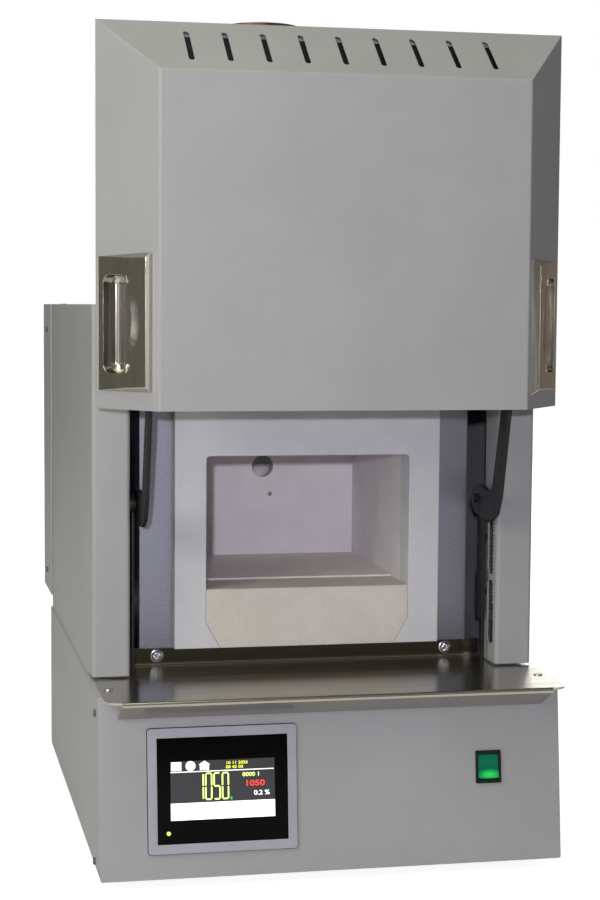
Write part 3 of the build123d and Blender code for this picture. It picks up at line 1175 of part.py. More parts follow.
# Door handles: pressed shells on the side borders. The back half has a deep finger cup
# with rounded corners, a crease divides it from the front half, and there a shallow
# round scoop slopes down to the edge of the cup
HANDLE_WALL = 1.5
CREASE_PROUD = 5.4
FRONT_PROUD = 7.2
CUP_BACK_DEPTH = 13.9
CUP_FRONT_DEPTH = 17.7
CUP_CORNER = 8.0
CUP_FLOOR_CORNER = 5.6
CUP_OUTER_CORNER = 8.0
SCOOP_RADIUS = (GRIP_HEIGHT**2 / 4 + SCOOP_SAGITTA**2) / (2 * SCOOP_SAGITTA)
SCOOP_CENTRE_RISE = 150.0
SCOOP_BALL = math.hypot(SCOOP_RADIUS, SCOOP_CENTRE_RISE)
RIB_DEPTH = 3.0
CUP_RIM = 8.0
for side, node in both_sides("handle"):
    border = bevel_plane(side)
    outward = Axis(border.origin, border.z_dir)
    end_plane = Plane(
        origin=border.from_local_coords((0, HANDLE_HEIGHT / 2, 0)), x_dir=border.x_dir, z_dir=-border.y_dir
    )
    ball_place = border.location * Location(
        (HANDLE_CREASE + SCOOP_SAGITTA - SCOOP_RADIUS, 0, CREASE_PROUD + SCOOP_CENTRE_RISE)
    )
    with BuildPart() as cup_space:
        with BuildSketch(end_plane.offset((HANDLE_HEIGHT - GRIP_HEIGHT) / 2)) as cup_space_section:
            with BuildLine():
                Polyline(
                    (CUP_BACK, CUP_RIM),
                    (CUP_BACK, -CUP_BACK_DEPTH),
                    (HANDLE_CREASE, -CUP_FRONT_DEPTH),
                    (HANDLE_CREASE, CUP_RIM),
                    close=True,
                )
            make_face()
        extrude(amount=GRIP_HEIGHT)
        fillet(cup_space.edges().filter_by(outward), CUP_CORNER)
        fillet(cup_space.faces().sort_by(outward)[0].edges(), CUP_FLOOR_CORNER)
    with BuildPart() as cup_body:
        with BuildSketch(end_plane.offset((HANDLE_HEIGHT - GRIP_HEIGHT) / 2 - CUP_WALL)) as cup_body_section:
            with BuildLine():
                Polyline(
                    (CUP_BACK - CUP_WALL, 0.4),
                    (CUP_BACK - CUP_WALL, -CUP_BACK_DEPTH - CUP_WALL),
                    (HANDLE_CREASE + CUP_WALL, -CUP_FRONT_DEPTH - CUP_WALL),
                    (HANDLE_CREASE + CUP_WALL, 0.4),
                    close=True,
                )
            make_face()
        extrude(amount=GRIP_HEIGHT + 2 * CUP_WALL)
        fillet(cup_body.edges().filter_by(outward), CUP_CORNER + CUP_WALL)
        fillet(cup_body.faces().sort_by(outward)[0].edges(), CUP_OUTER_CORNER)
    with BuildPart() as scoop_space:
        with Locations(ball_place):
            Sphere(SCOOP_BALL)
        with BuildSketch(end_plane.offset((HANDLE_HEIGHT - GRIP_HEIGHT) / 2)) as scoop_band:
            with BuildLine():
                Polyline(
                    (HANDLE_CREASE, -RIB_DEPTH - 1),
                    (HANDLE_CREASE, FRONT_PROUD + 3),
                    (HANDLE_FRONT - 3, FRONT_PROUD + 3),
                    (HANDLE_FRONT - 3, -RIB_DEPTH - 1),
                    close=True,
                )
            make_face()
        extrude(amount=GRIP_HEIGHT, mode=Mode.INTERSECT)
    with BuildPart() as front_space:
        with BuildSketch(end_plane.offset(6)) as front_section:
            with BuildLine():
                Polyline(
                    (HANDLE_CREASE + CUP_WALL, -RIB_DEPTH - 1),
                    (HANDLE_CREASE + CUP_WALL, CREASE_PROUD - HANDLE_WALL),
                    (HANDLE_FRONT - 3, FRONT_PROUD - HANDLE_WALL),
                    (HANDLE_FRONT - 1.8, -RIB_DEPTH - 1),
                    close=True,
                )
            make_face()
        extrude(amount=HANDLE_HEIGHT - 12)
        with Locations(ball_place):
            Sphere(SCOOP_BALL + HANDLE_WALL, mode=Mode.SUBTRACT)
    with BuildPart() as handle:
        with BuildSketch(end_plane.offset(-HANDLE_TOP_FLARE)) as handle_profile:
            with BuildLine():
                Polyline(
                    (HANDLE_BACK, 0),
                    (HANDLE_BACK, 0.6),
                    (HANDLE_CREASE, CREASE_PROUD),
                    (HANDLE_FRONT - 1.5, FRONT_PROUD),
                    (HANDLE_FRONT, 0),
                    close=True,
                )
            make_face()
        extrude(amount=HANDLE_HEIGHT + HANDLE_TOP_FLARE)
        with BuildSketch(border.offset(-1)) as top_trim:
            with BuildLine():
                Polyline(
                    (0, HANDLE_HEIGHT / 2),
                    (HANDLE_FRONT + 1, HANDLE_HEIGHT / 2 + HANDLE_TOP_FLARE),
                    (HANDLE_FRONT + 1, HANDLE_HEIGHT),
                    (0, HANDLE_HEIGHT),
                    close=True,
                )
            make_face()
        extrude(amount=FRONT_PROUD + 2, mode=Mode.SUBTRACT)
        end_slope = Plane(origin=border.origin, x_dir=border.y_dir, z_dir=border.x_dir)
        for end, flare in ((-1, 0), (1, HANDLE_TOP_FLARE)):
            with BuildSketch(end_slope) as handle_end:
                with BuildLine():
                    Polyline(
                        (end * (HANDLE_HEIGHT / 2 - 5), FRONT_PROUD + 0.5),
                        (end * (HANDLE_HEIGHT / 2 + 4), FRONT_PROUD + 0.5),
                        (end * (HANDLE_HEIGHT / 2 + 4), 0.8),
                        (end * HANDLE_HEIGHT / 2, 0.8),
                        close=True,
                    )
                make_face()
            end_way = border.x_dir * HANDLE_FRONT + border.y_dir * flare
            extrude(amount=HANDLE_FRONT + 5, dir=end_way, mode=Mode.SUBTRACT)
        with BuildSketch(border) as rib_plan:
            with Locations((HANDLE_CREASE + SCOOP_SAGITTA / 2, 0)):
                Rectangle(SCOOP_SAGITTA, GRIP_HEIGHT)
        extrude(amount=-RIB_DEPTH)
        add(cup_body.part)
        add(cup_space.part, mode=Mode.SUBTRACT)
        add(front_space.part, mode=Mode.SUBTRACT)
        add(scoop_space.part, mode=Mode.SUBTRACT)
    save(handle.part, node)

# Door brackets: upright flanged bars inside the cover that hold the pivot pins
DOOR_BRACKET_INNER = 173.0
DOOR_BRACKET_SHEET = 3.0
with BuildPart() as door_brackets:
    for side in (-1, 1):
        with BuildSketch(Plane.YZ.offset(side * DOOR_BRACKET_INNER)) as bracket_wall:
            with Locations(((DOOR_BACK_Y + DOOR_PIVOT_Y - 42) / 2, (DOOR_PIVOT_Z + UPPER_DOOR_PIVOT_Z) / 2)):
                Rectangle(DOOR_BACK_Y - DOOR_PIVOT_Y + 42 - 6, ARM_RISE + 26)
            with Locations((DOOR_PIVOT_Y, DOOR_PIVOT_Z), (DOOR_PIVOT_Y, UPPER_DOOR_PIVOT_Z)):
                Circle(PIN_RADIUS, mode=Mode.SUBTRACT)
        extrude(amount=side * DOOR_BRACKET_SHEET)
save(door_brackets.part, "door_brackets")

# Door pivot pins: four headed pins, one for each arm
PIN_START = ARM_INNER - 1.6
PIN_END = DOOR_BRACKET_INNER + DOOR_BRACKET_SHEET + 1.5
with BuildPart() as door_pivot_pins:
    for side in (-1, 1):
        for pin_z in (DOOR_PIVOT_Z, UPPER_DOOR_PIVOT_Z):
            with BuildSketch(Plane.YZ.offset(side * PIN_START)) as pin_shaft:
                with Locations((DOOR_PIVOT_Y, pin_z)):
                    Circle(PIN_RADIUS)
            extrude(amount=side * (PIN_END - PIN_START))
            with BuildSketch(Plane.YZ.offset(side * (PIN_START - 1.2))) as pin_head:
                with Locations((DOOR_PIVOT_Y, pin_z)):
                    Circle(PIN_RADIUS + 2)
            extrude(amount=side * 1.2)
save(door_pivot_pins.part, "door_pivot_pins")
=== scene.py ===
import math

import bpy
from mathutils import Matrix, Vector


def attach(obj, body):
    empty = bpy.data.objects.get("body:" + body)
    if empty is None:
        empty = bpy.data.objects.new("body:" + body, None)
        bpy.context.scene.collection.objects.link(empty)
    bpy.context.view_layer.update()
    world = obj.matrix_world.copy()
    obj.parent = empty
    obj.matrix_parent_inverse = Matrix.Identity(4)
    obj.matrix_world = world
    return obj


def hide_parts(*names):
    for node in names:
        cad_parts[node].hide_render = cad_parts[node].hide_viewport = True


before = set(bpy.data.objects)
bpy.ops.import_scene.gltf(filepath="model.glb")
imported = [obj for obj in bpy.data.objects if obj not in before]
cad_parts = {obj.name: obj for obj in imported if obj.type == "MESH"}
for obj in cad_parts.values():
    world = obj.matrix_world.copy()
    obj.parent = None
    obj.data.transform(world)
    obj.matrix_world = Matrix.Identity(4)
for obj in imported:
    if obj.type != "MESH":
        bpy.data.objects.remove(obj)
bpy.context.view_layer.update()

# Feet: four moulded pads of black rubber, screwed to the floor of the base.
# They are matt, with a faint bloom, and their rims are painted in the rubber's lightest tone, a painted
# sheen.


def open_group(name, inputs, outputs):
    """Starts a shader node group with named sockets."""
    group = bpy.data.node_groups.new(name, "ShaderNodeTree")
    for label, kind, value in inputs:
        socket = group.interface.new_socket(label, in_out="INPUT", socket_type="NodeSocket" + kind)
        if value is not None:
            socket.default_value = value
    for label, kind in outputs:
        group.interface.new_socket(label, in_out="OUTPUT", socket_type="NodeSocket" + kind)
    return group, group.nodes.new("NodeGroupInput").outputs, group.nodes.new("NodeGroupOutput").inputs


def put(tree, kind, settings=None, **inputs):
    """Adds a node. Each input is a value or the socket that feeds it, and i0, i1, i6 are socket numbers."""
    made = tree.nodes.new(kind)
    for key, value in (settings or {}).items():
        setattr(made, key, value)
    for key, value in inputs.items():
        numbered = key[0] == "i" and key[1:].isdigit()
        socket = made.inputs[int(key[1:])] if numbered else made.inputs[key.replace("_", " ")]
        if isinstance(value, bpy.types.NodeSocket):
            tree.links.new(value, socket)
        else:
            socket.default_value = value
    return made


relief, given, result = open_group(
    "soft_relief",
    [("Vector", "Vector", None), ("Edge Radius", "Float", 0.0006), ("Grain Scale", "Float", 900.0),
     ("Grain Depth", "Float", 0.00001)],
    [("Normal", "Vector"), ("Edge", "Float")],
)
rounded = put(relief, "ShaderNodeBevel", {"samples": 4}, Radius=given["Edge Radius"])
flat = put(relief, "ShaderNodeNewGeometry")
likeness = put(relief, "ShaderNodeVectorMath", {"operation": "DOT_PRODUCT"}, i0=rounded.outputs[0],
               i1=flat.outputs["Normal"])
edge = put(relief, "ShaderNodeMapRange", None, Value=likeness.outputs["Value"], From_Min=0.995, From_Max=0.86)
grain = put(relief, "ShaderNodeTexNoise", None, Vector=given["Vector"], Scale=given["Grain Scale"],
            Detail=3.0)
raised = put(relief, "ShaderNodeBump", None, Height=grain.outputs["Fac"], Distance=given["Grain Depth"],
             Normal=rounded.outputs[0])
relief.links.new(raised.outputs[0], result["Normal"])
relief.links.new(edge.outputs[0], result["Edge"])

mottling, given, result = open_group(
    "mottling",
    [("Vector", "Vector", None), ("Scale", "Float", 30.0), ("Light", "Color", (1, 1, 1, 1)),
     ("Dark", "Color", (0.5, 0.5, 0.5, 1))],
    [("Colour", "Color"), ("Cloud", "Float")],
)
broad = put(mottling, "ShaderNodeTexNoise", None, Vector=given["Vector"], Scale=given["Scale"], Detail=4.0,
            Roughness=0.6)
cloud = put(mottling, "ShaderNodeMapRange", None, Value=broad.outputs["Fac"], From_Min=0.3, From_Max=0.7)
shade = put(mottling, "ShaderNodeMix", {"data_type": "RGBA"}, i0=cloud.outputs[0], i6=given["Dark"],
            i7=given["Light"])
mottling.links.new(shade.outputs[2], result["Colour"])
mottling.links.new(cloud.outputs[0], result["Cloud"])


def linear(red, green, blue):
    """A colour written as the eye sees it, from 0 to 255, turned into light values."""
    light = [((v / 255 + 0.055) / 1.055) ** 2.4 if v > 10 else v / 3295 for v in (red, green, blue)]
    return (*light, 1.0)


def blank_finish(name):
    """A new material, with its node tree and its shader."""
    made = bpy.data.materials.new(name)
    made.use_nodes = True
    return made, made.node_tree, made.node_tree.nodes["Principled BSDF"]


def finish(name, light, dark, rough, metal=0.0, edge_wear_and_highlight=None, mottle=30.0, grain=900.0, depth=0.00001,
           radius=0.0006, stretch=(1, 1, 1), spread=0.08, gloss=0.5):
    """A finish with mottling, fine grain, softened edges and its own tone along the edges, which is wear on
    some finishes and a painted highlight on others.
    """
    made, tree, shader = blank_finish(name)
    place = put(tree, "ShaderNodeTexCoord").outputs["Object"]
    drawn = put(tree, "ShaderNodeMapping", None, Vector=place, Scale=stretch).outputs[0]
    form = put(tree, "ShaderNodeGroup", {"node_tree": relief}, Vector=drawn, Edge_Radius=radius,
               Grain_Scale=grain, Grain_Depth=depth)
    tone = put(tree, "ShaderNodeGroup", {"node_tree": mottling}, Vector=drawn, Scale=mottle, Light=light,
               Dark=dark)
    colour = put(tree, "ShaderNodeMix", {"data_type": "RGBA"}, i0=form.outputs["Edge"],
                 i6=tone.outputs["Colour"], i7=edge_wear_and_highlight or light)
    dull = put(tree, "ShaderNodeMapRange", None, Value=tone.outputs["Cloud"], To_Min=rough - spread,
               To_Max=rough + spread)
    tree.links.new(colour.outputs[2], shader.inputs["Base Color"])
    tree.links.new(dull.outputs[0], shader.inputs["Roughness"])
    tree.links.new(form.outputs["Normal"], shader.inputs["Normal"])
    shader.inputs["Metallic"].default_value = metal
    shader.inputs["Specular IOR Level"].default_value = gloss
    return made


def dress(made, *names):
    """Gives a finish to nodes of the CAD frame."""
    for name in names:
        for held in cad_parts[name].material_slots:
            held.material = made


# Painted sheen: the rubber's edges take its lightest tone.
rubber = finish("black_rubber", linear(42, 42, 42), linear(24, 24, 24), 0.75, mottle=60, grain=1500,
                depth=0.00002, radius=0.0012)
dress(rubber, "rubber_feet")

# Base: a folded shell with a leaning front and a louvred back, all of 1.5 mm steel sheet.
# It is powder coated in a warm light grey with a very fine orange-peel surface.
paint = finish("grey_powder_coat", linear(164, 163, 166), linear(158, 157, 159), 0.45,
               edge_wear_and_highlight=linear(180, 179, 180), mottle=9, grain=620, depth=0.000012, radius=0.0009, spread=0.04,
               gloss=0.35)
dress(paint, "base_shell", "front_panel", "base_back_panel")

# Cable gland and fuse holders: black nylon mouldings through the back panel, held by nuts.
# The gland is made to clamp a mains cord, and each fuse holder has a cap that unscrews.
black_plastic = finish("black_nylon", linear(22, 24, 24), linear(15, 17, 17), 0.5, edge_wear_and_highlight=linear(44, 46, 46),
                       mottle=80, grain=1800, depth=0.000008, radius=0.0005, gloss=0.18)
dress(black_plastic, "cable_gland", "fuse_holders")

# Spill tray: one sheet of satin stainless steel with a sloping flap and a low upstand.
# The polishing lines run across its width, and the upstand under the sill is painted a dark olive brown, a
# painted reflection of the dark room.
tray_steel = finish("satin_stainless", linear(184, 180, 169), linear(176, 172, 161), 0.2, metal=0.97,
                    edge_wear_and_highlight=linear(176, 172, 163), mottle=14, grain=260, depth=0.000006, radius=0.0003,
                    stretch=(0.15, 5.0, 5.0), spread=0.03)
# Painted reflection: from its foot up, the upstand's colour turns dark olive brown.
UPSTAND_FOOT, DARKENED_FROM = 0.176, 0.181
tree = tray_steel.node_tree
tray_tone = tree.nodes["Principled BSDF"].inputs["Base Color"]
place = put(tree, "ShaderNodeTexCoord").outputs["Object"]
height = put(tree, "ShaderNodeSeparateXYZ", None, Vector=place)
upstand_dark_mask = put(tree, "ShaderNodeMapRange", {"interpolation_type": "SMOOTHSTEP"}, Value=height.outputs["Z"],
           From_Min=UPSTAND_FOOT, From_Max=DARKENED_FROM)
upstand_painted_dark = put(tree, "ShaderNodeMix", {"data_type": "RGBA"}, i0=upstand_dark_mask.outputs[0],
             i6=tray_tone.links[0].from_socket, i7=linear(100, 97, 80))
tree.links.new(upstand_painted_dark.outputs[2], tray_tone)
dress(tray_steel, "spill_tray")

# Screws: steel heads with a cross recess, tight against the sheet, zinc plated, the side pan heads in a
# darker olive steel.
# Two flat and two domed ones hold the tray, pan heads the sides, and low heads the lid and the flange.
bright_steel = finish("zinc_plated_steel", linear(206, 206, 208), linear(178, 179, 184), 0.24, metal=1.0,
                      edge_wear_and_highlight=linear(228, 228, 228), mottle=220, grain=2400, depth=0.000004, radius=0.0003)
HEAD_SIDES = 32
HEAD_PROFILE = [(0.2, 1.0), (0.42, 0.98), (0.62, 0.94), (0.8, 0.84), (0.93, 0.62), (1.0, 0.25), (1.0, 0.0)]
RECESS_HALF_WIDTH, RECESS_REACH, RECESS_DEPTH = 0.11, 0.66, 0.45


def head_mesh(name, radius, height, crown):
    """A round head that stands on Z = 0, with a crowned top and a cross recess."""
    points, faces = [(0, 0, height * (1 - RECESS_DEPTH))], []
    for share, rise in HEAD_PROFILE:
        for i in range(HEAD_SIDES):
            angle = 2 * math.pi * i / HEAD_SIDES
            x, y = share * radius * math.cos(angle), share * radius * math.sin(angle)
            z = height * (1 - crown + crown * rise) if share < 1 else height * rise
            in_recess = min(abs(x), abs(y)) < radius * RECESS_HALF_WIDTH and share < RECESS_REACH
            points.append((x, y, z - (height * RECESS_DEPTH if in_recess else 0)))
    for i in range(HEAD_SIDES):
        faces.append((0, 1 + i, 1 + (i + 1) % HEAD_SIDES))
    for ring in range(len(HEAD_PROFILE) - 1):
        for i in range(HEAD_SIDES):
            a, b = 1 + ring * HEAD_SIDES + i, 1 + ring * HEAD_SIDES + (i + 1) % HEAD_SIDES
            faces.append((a, a + HEAD_SIDES, b + HEAD_SIDES, b))
    first = 1 + (len(HEAD_PROFILE) - 1) * HEAD_SIDES
    faces.append(tuple(reversed(range(first, first + HEAD_SIDES))))
    mesh = bpy.data.meshes.new(name)
    mesh.from_pydata(points, [], faces)
    return mesh


def add_object(name, data):
    """Puts a mesh, a curve, a lamp or a camera into the scene."""
    made = bpy.data.objects.new(name, data)
    bpy.context.scene.collection.objects.link(made)
    return made


def evaluated_mesh(source):
    """The plain mesh that an object gives with its modifiers or its letters worked out."""
    bpy.context.view_layer.update()
    return bpy.data.meshes.new_from_object(source.evaluated_get(bpy.context.evaluated_depsgraph_get()))


UP, TO_FRONT = (0, 0, 1), (0, -1, 0)
LARGEST_TWIST = 1.5


def placed_set(name, template, places, made):
    """Sets copies of a template on points in millimetres, each turned to its own outward direction."""
    tree = bpy.data.node_groups.new(name + "_tree", "GeometryNodeTree")
    tree.interface.new_socket("Points", in_out="INPUT", socket_type="NodeSocketGeometry")
    pattern = tree.interface.new_socket("Pattern", in_out="INPUT", socket_type="NodeSocketObject")
    tree.interface.new_socket("Geometry", in_out="OUTPUT", socket_type="NodeSocketGeometry")
    start = tree.nodes.new("NodeGroupInput")
    end = tree.nodes.new("NodeGroupOutput")
    shape = put(tree, "GeometryNodeObjectInfo", None, Object=start.outputs["Pattern"])
    aim = put(tree, "GeometryNodeInputNamedAttribute", {"data_type": "FLOAT_VECTOR"}, Name="aim")
    turned = put(tree, "FunctionNodeAlignRotationToVector", {"axis": "Z"}, Vector=aim.outputs[0])
    twist = put(tree, "FunctionNodeRandomValue", {"data_type": "FLOAT"}, Seed=7, i3=LARGEST_TWIST)
    spin = put(tree, "FunctionNodeAxisAngleToRotation", None, Axis=(0, 0, 1), Angle=twist.outputs[1])
    final = put(tree, "FunctionNodeRotateRotation", {"rotation_space": "LOCAL"}, Rotation=turned.outputs[0],
                Rotate_By=spin.outputs[0])
    copies = put(tree, "GeometryNodeInstanceOnPoints", None, Points=start.outputs["Points"],
                 Instance=shape.outputs["Geometry"], Rotation=final.outputs[0])
    solid = put(tree, "GeometryNodeRealizeInstances", None, Geometry=copies.outputs[0])
    coloured = put(tree, "GeometryNodeSetMaterial", None, Geometry=solid.outputs[0], Material=made)
    tree.links.new(coloured.outputs[0], end.inputs["Geometry"])
    carrier = bpy.data.meshes.new(name + "_points")
    carrier.from_pydata([Vector(place) / 1000 for place, _ in places], [], [])
    direction = carrier.attributes.new("aim", "FLOAT_VECTOR", "POINT")
    for i, (_, way) in enumerate(places):
        direction.data[i].vector = way
    holder = add_object(name, carrier)
    sample = add_object(name + "_pattern", template)
    live = holder.modifiers.new("set", "NODES")
    live.node_group = tree
    live[pattern.identifier] = sample
    plain = evaluated_mesh(holder)
    holder.modifiers.remove(live)
    holder.data = plain
    bpy.data.objects.remove(sample)
    for face in plain.polygons:
        face.use_smooth = True
    return holder


flat_head = head_mesh("flat_head", radius=0.0042, height=0.0012, crown=0.35)
TRAY_SCREW_X, TRAY_SCREW_Y, TRAY_FLOOR = (-205.5, 205.5), -273, 177
flat_heads = placed_set("tray_flat_screws", flat_head,
                        [((x, TRAY_SCREW_Y, TRAY_FLOOR), UP) for x in TRAY_SCREW_X], bright_steel)
UPSTAND_SCREW_X, UPSTAND_SCREW_Z, UPSTAND_FACE, DOME_SEAT = (-146, 146), 186, -162, -162.5
domed_head = head_mesh("domed_head", radius=0.0050, height=0.0034, crown=0.8)
domed_heads = placed_set("tray_domed_screws", domed_head,
                         [((x, DOME_SEAT, UPSTAND_SCREW_Z), TO_FRONT) for x in UPSTAND_SCREW_X], bright_steel)
washer = head_mesh("washer_disc", radius=0.0066, height=0.0007, crown=0.15)
washers = placed_set("tray_washers", washer,
                     [((x, UPSTAND_FACE, UPSTAND_SCREW_Z), TO_FRONT) for x in UPSTAND_SCREW_X], bright_steel)

BASE_SIDE, BASE_SCREWS = 217.25, ((-271.0, 155.5), (-266.5, 16.5))
COVER_LAP_SIDE, COVER_SCREWS = 216.7, ((280.5, 497.8), (280.5, 210.6))
pan_places = [((hand * reach, y, z), (hand, 0, 0)) for hand in (-1, 1)
              for reach, spots in ((BASE_SIDE, BASE_SCREWS), (COVER_LAP_SIDE, COVER_SCREWS))
              for y, z in spots]
dull_steel = finish("dark_olive_screw_steel", linear(98, 98, 92), linear(76, 76, 70), 0.45, metal=0.8,
                    edge_wear_and_highlight=linear(130, 130, 124), mottle=220, grain=2400, depth=0.000004, radius=0.0003)
pan_head = head_mesh("pan_head", radius=0.0034, height=0.0019, crown=0.6)
pan_heads = placed_set("side_pan_screws", pan_head, pan_places, dull_steel)

LID_TOP, LID_SCREW_X, LID_SCREW_Y = 527.5, (-203.25, 203.25), (-210.5, 218.0)
CHIMNEY_Y, FLANGE_TOP, FLANGE_SCREW_CIRCLE = 78, 529.5, 52
lid_places = [((x, y, LID_TOP), UP) for x in LID_SCREW_X for y in LID_SCREW_Y]
for degrees in (45, 135, 225, 315):
    bearing = math.radians(degrees)
    lid_places.append(((FLANGE_SCREW_CIRCLE * math.cos(bearing),
                        CHIMNEY_Y + FLANGE_SCREW_CIRCLE * math.sin(bearing), FLANGE_TOP), UP))
lid_head = head_mesh("lid_head", radius=0.0036, height=0.0007, crown=0.35)
lid_heads = placed_set("lid_flat_screws", lid_head, lid_places, bright_steel)

for heads, node in ((flat_heads, "tray_screws"), (domed_heads, "tray_screws"), (washers, "tray_screws"),
                    (pan_heads, "side_screws"), (lid_heads, "top_screws")):
    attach(heads, "housing")
    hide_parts(node)

# Controller: a moulded bezel in a cool light grey round a flush black touch glass.
# The housing clips into the panel from the front, and its plugs are behind.
bezel_plastic = finish("bezel_moulding", linear(166, 165, 176), linear(158, 157, 168), 0.4,
                       edge_wear_and_highlight=linear(190, 189, 200), mottle=20, grain=1500, depth=0.000008, radius=0.0012)
screen_glass = finish("touch_glass", linear(8, 9, 11), linear(6, 6, 7), 0.08, mottle=12, grain=300,
                      depth=0.0, radius=0.0004, spread=0.02, gloss=0.05)
dress(bezel_plastic, "controller_bezel")
dress(screen_glass, "controller_glass")
dress(black_plastic, "controller_housing")

# Display: the lit part of the touch screen and the lamp under it, with plain numbers and units.
# Each lit mark is a thin shape of its own colour, laid over the black glass in two layers.
PANEL_RISE, PANEL_RUN = 165.0, 17.5
CONTROLLER_X, PANEL_FOOT_Y, PANEL_FOOT_Z, CONTROLLER_HEIGHT = -104.9, -312.5, 10.0, 79.3
SCREEN_WIDTH, SCREEN_HEIGHT, SCREEN_LIFT = 96.0, 53.2, 2.22
LAYER_LIFT, LETTER_LIFT, LETTER_SHARE, LETTER_BOLDNESS = 0.03, 0.1, 0.72, 0.03
lean = math.atan2(PANEL_RUN, PANEL_RISE)
panel_up = Vector((0, math.sin(lean), math.cos(lean)))
panel_out = Vector((0, -math.cos(lean), math.sin(lean)))
panel_turn = Matrix((Vector((1, 0, 0)), panel_up, panel_out)).transposed().to_4x4()


def on_panel(x, up, lift):
    """A place over the leaning front, in millimetres from the foot of the panel under the controller."""
    return (Vector((CONTROLLER_X + x, PANEL_FOOT_Y, PANEL_FOOT_Z)) + panel_up * up + panel_out * lift) / 1000


def on_screen(x, up, lift):
    """A place on the screen, in millimetres from its lower left corner."""
    return on_panel(x - SCREEN_WIDTH / 2, CONTROLLER_HEIGHT - SCREEN_HEIGHT / 2 + up, SCREEN_LIFT + lift)


def lit(name, colour, strength):
    """A glowing finish with the faint grid of the screen's dots."""
    made, tree, shader = blank_finish(name)
    place = put(tree, "ShaderNodeTexCoord").outputs["Object"]
    between = tuple(v * 0.82 for v in colour[:3]) + (1.0,)
    dots = put(tree, "ShaderNodeTexChecker", None, Vector=place, Scale=4200.0, Color1=colour, Color2=between)
    tree.links.new(dots.outputs["Color"], shader.inputs["Emission Color"])
    tree.links.new(dots.outputs["Color"], shader.inputs["Base Color"])
    shader.inputs["Emission Strength"].default_value = strength
    shader.inputs["Roughness"].default_value = 0.25
    return made


def shaped_object(name, points, faces, made):
    """An object from its points and faces, in one finish."""
    mesh = bpy.data.meshes.new(name)
    mesh.from_pydata(points, [], faces)
    mesh.materials.append(made)
    return add_object(name, mesh)


def screen_piece(name, made, outlines, layer):
    """Flat shapes on the screen, in a layer of their own."""
    points, faces = [], []
    for outline in outlines:
        faces.append(tuple(range(len(points), len(points) + len(outline))))
        points += [on_screen(x, y, LAYER_LIFT * layer) for x, y in outline]
    piece = shaped_object(name, points, faces, made)
    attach(piece, "housing")
    return piece


def rectangle(left, low, right, high):
    """Corners of a rectangle, counter-clockwise."""
    return [(left, low), (right, low), (right, high), (left, high)]


def screen_text(name, made, words, left, low, height, wide=1.0):
    """Bold figures set in the plain built-in letters, as a thin sheet on the screen."""
    curve = bpy.data.curves.new(name, "FONT")
    curve.body = words
    curve.size = height / 1000 / LETTER_SHARE
    curve.offset = height / 1000 * LETTER_BOLDNESS
    curve.resolution_u = 3
    raw = add_object(name + "_raw", curve)
    mesh = evaluated_mesh(raw)
    bpy.data.objects.remove(raw)
    place = Matrix.Translation(on_screen(left, low, LETTER_LIFT))
    mesh.transform(place @ panel_turn @ Matrix.Diagonal((wide, 1, 1, 1)))
    mesh.materials.clear()
    mesh.materials.append(made)
    piece = add_object(name, mesh)
    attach(piece, "housing")
    return piece


SEGMENTS = {"a": (0, 2, 1, 2), "b": (1, 1, 1, 2), "c": (1, 0, 1, 1), "d": (0, 0, 1, 0), "e": (0, 0, 0, 1),
            "f": (0, 1, 0, 2), "g": (0, 1, 1, 1)}
LIT_SEGMENTS = {"0": "abcdef", "1": "bc", "5": "acdfg"}
LEVEL_GAP, UPRIGHT_GAP, SHOULDER_GAP = 0.15, 0.3, 0.2


def segment_digits(words, left, low, width, height, pitch, thick):
    """Outlines of seven-segment figures: pointed bars, with a small gap where two of them meet."""
    shapes = []
    half = thick / 2
    for i, figure in enumerate(words):
        x0 = left + i * pitch
        for key in LIT_SEGMENTS[figure]:
            ax, ay, bx, by = SEGMENTS[key]
            x1, y1 = x0 + ax * width, low + ay * height / 2
            x2, y2 = x0 + bx * width, low + by * height / 2
            if y1 == y2:
                shapes.append([(x1 + LEVEL_GAP, y1), (x1 + half, y1 - half), (x2 - half, y1 - half),
                               (x2 - LEVEL_GAP, y1), (x2 - half, y1 + half), (x1 + half, y1 + half)])
            else:
                low_end, high_end = y1 + half + SHOULDER_GAP, y2 - half - SHOULDER_GAP
                shapes.append([(x1, y1 + UPRIGHT_GAP), (x1 + half, low_end), (x1 + half, high_end),
                               (x1, y2 - UPRIGHT_GAP), (x1 - half, high_end), (x1 - half, low_end)])
    return shapes


def round_mark(x, y, radius):
    """Outline of a disc."""
    return [(x + radius * math.cos(2 * math.pi * i / 32), y + radius * math.sin(2 * math.pi * i / 32))
            for i in range(32)]


lit_white = lit("lit_white", (1.0, 1.0, 1.0, 1.0), 1.05)
lit_grey = lit("lit_dark_grey", linear(46, 45, 49), 0.6)
lit_yellow = lit("lit_yellow", linear(232, 240, 70), 1.0)
lit_lime = lit("lit_lime", linear(226, 250, 140), 1.1)
lit_red = lit("lit_red", linear(246, 60, 56), 1.05)
lit_green = lit("lit_green", linear(70, 220, 90), 0.9)
screen_piece("display_ground", lit_grey, [rectangle(0, 0, SCREEN_WIDTH, SCREEN_HEIGHT)], 0)
square = rectangle(0.6, 44.6, 10.0, 52.6)
house = [(27.0, 44.6), (35.4, 44.6), (35.4, 49.4), (36.6, 49.4), (31.2, 53.0), (25.8, 49.4), (27.0, 49.4)]
rule = rectangle(0, 43.0, 95.2, 43.8)
lower_bar = rectangle(0, 0, SCREEN_WIDTH, 15.4)
screen_piece("display_marks", lit_white, [square, round_mark(18.4, 48.6, 4.5), house, rule, lower_bar], 1)
screen_piece("display_measured", lit_lime,
             segment_digits("1050", left=24.5, low=18.0, width=5.4, height=23.4, pitch=7.7, thick=1.4), 1)
screen_text("display_date", lit_yellow, "10 11 2026", left=50.8, low=49.0, height=2.7, wide=1.2)
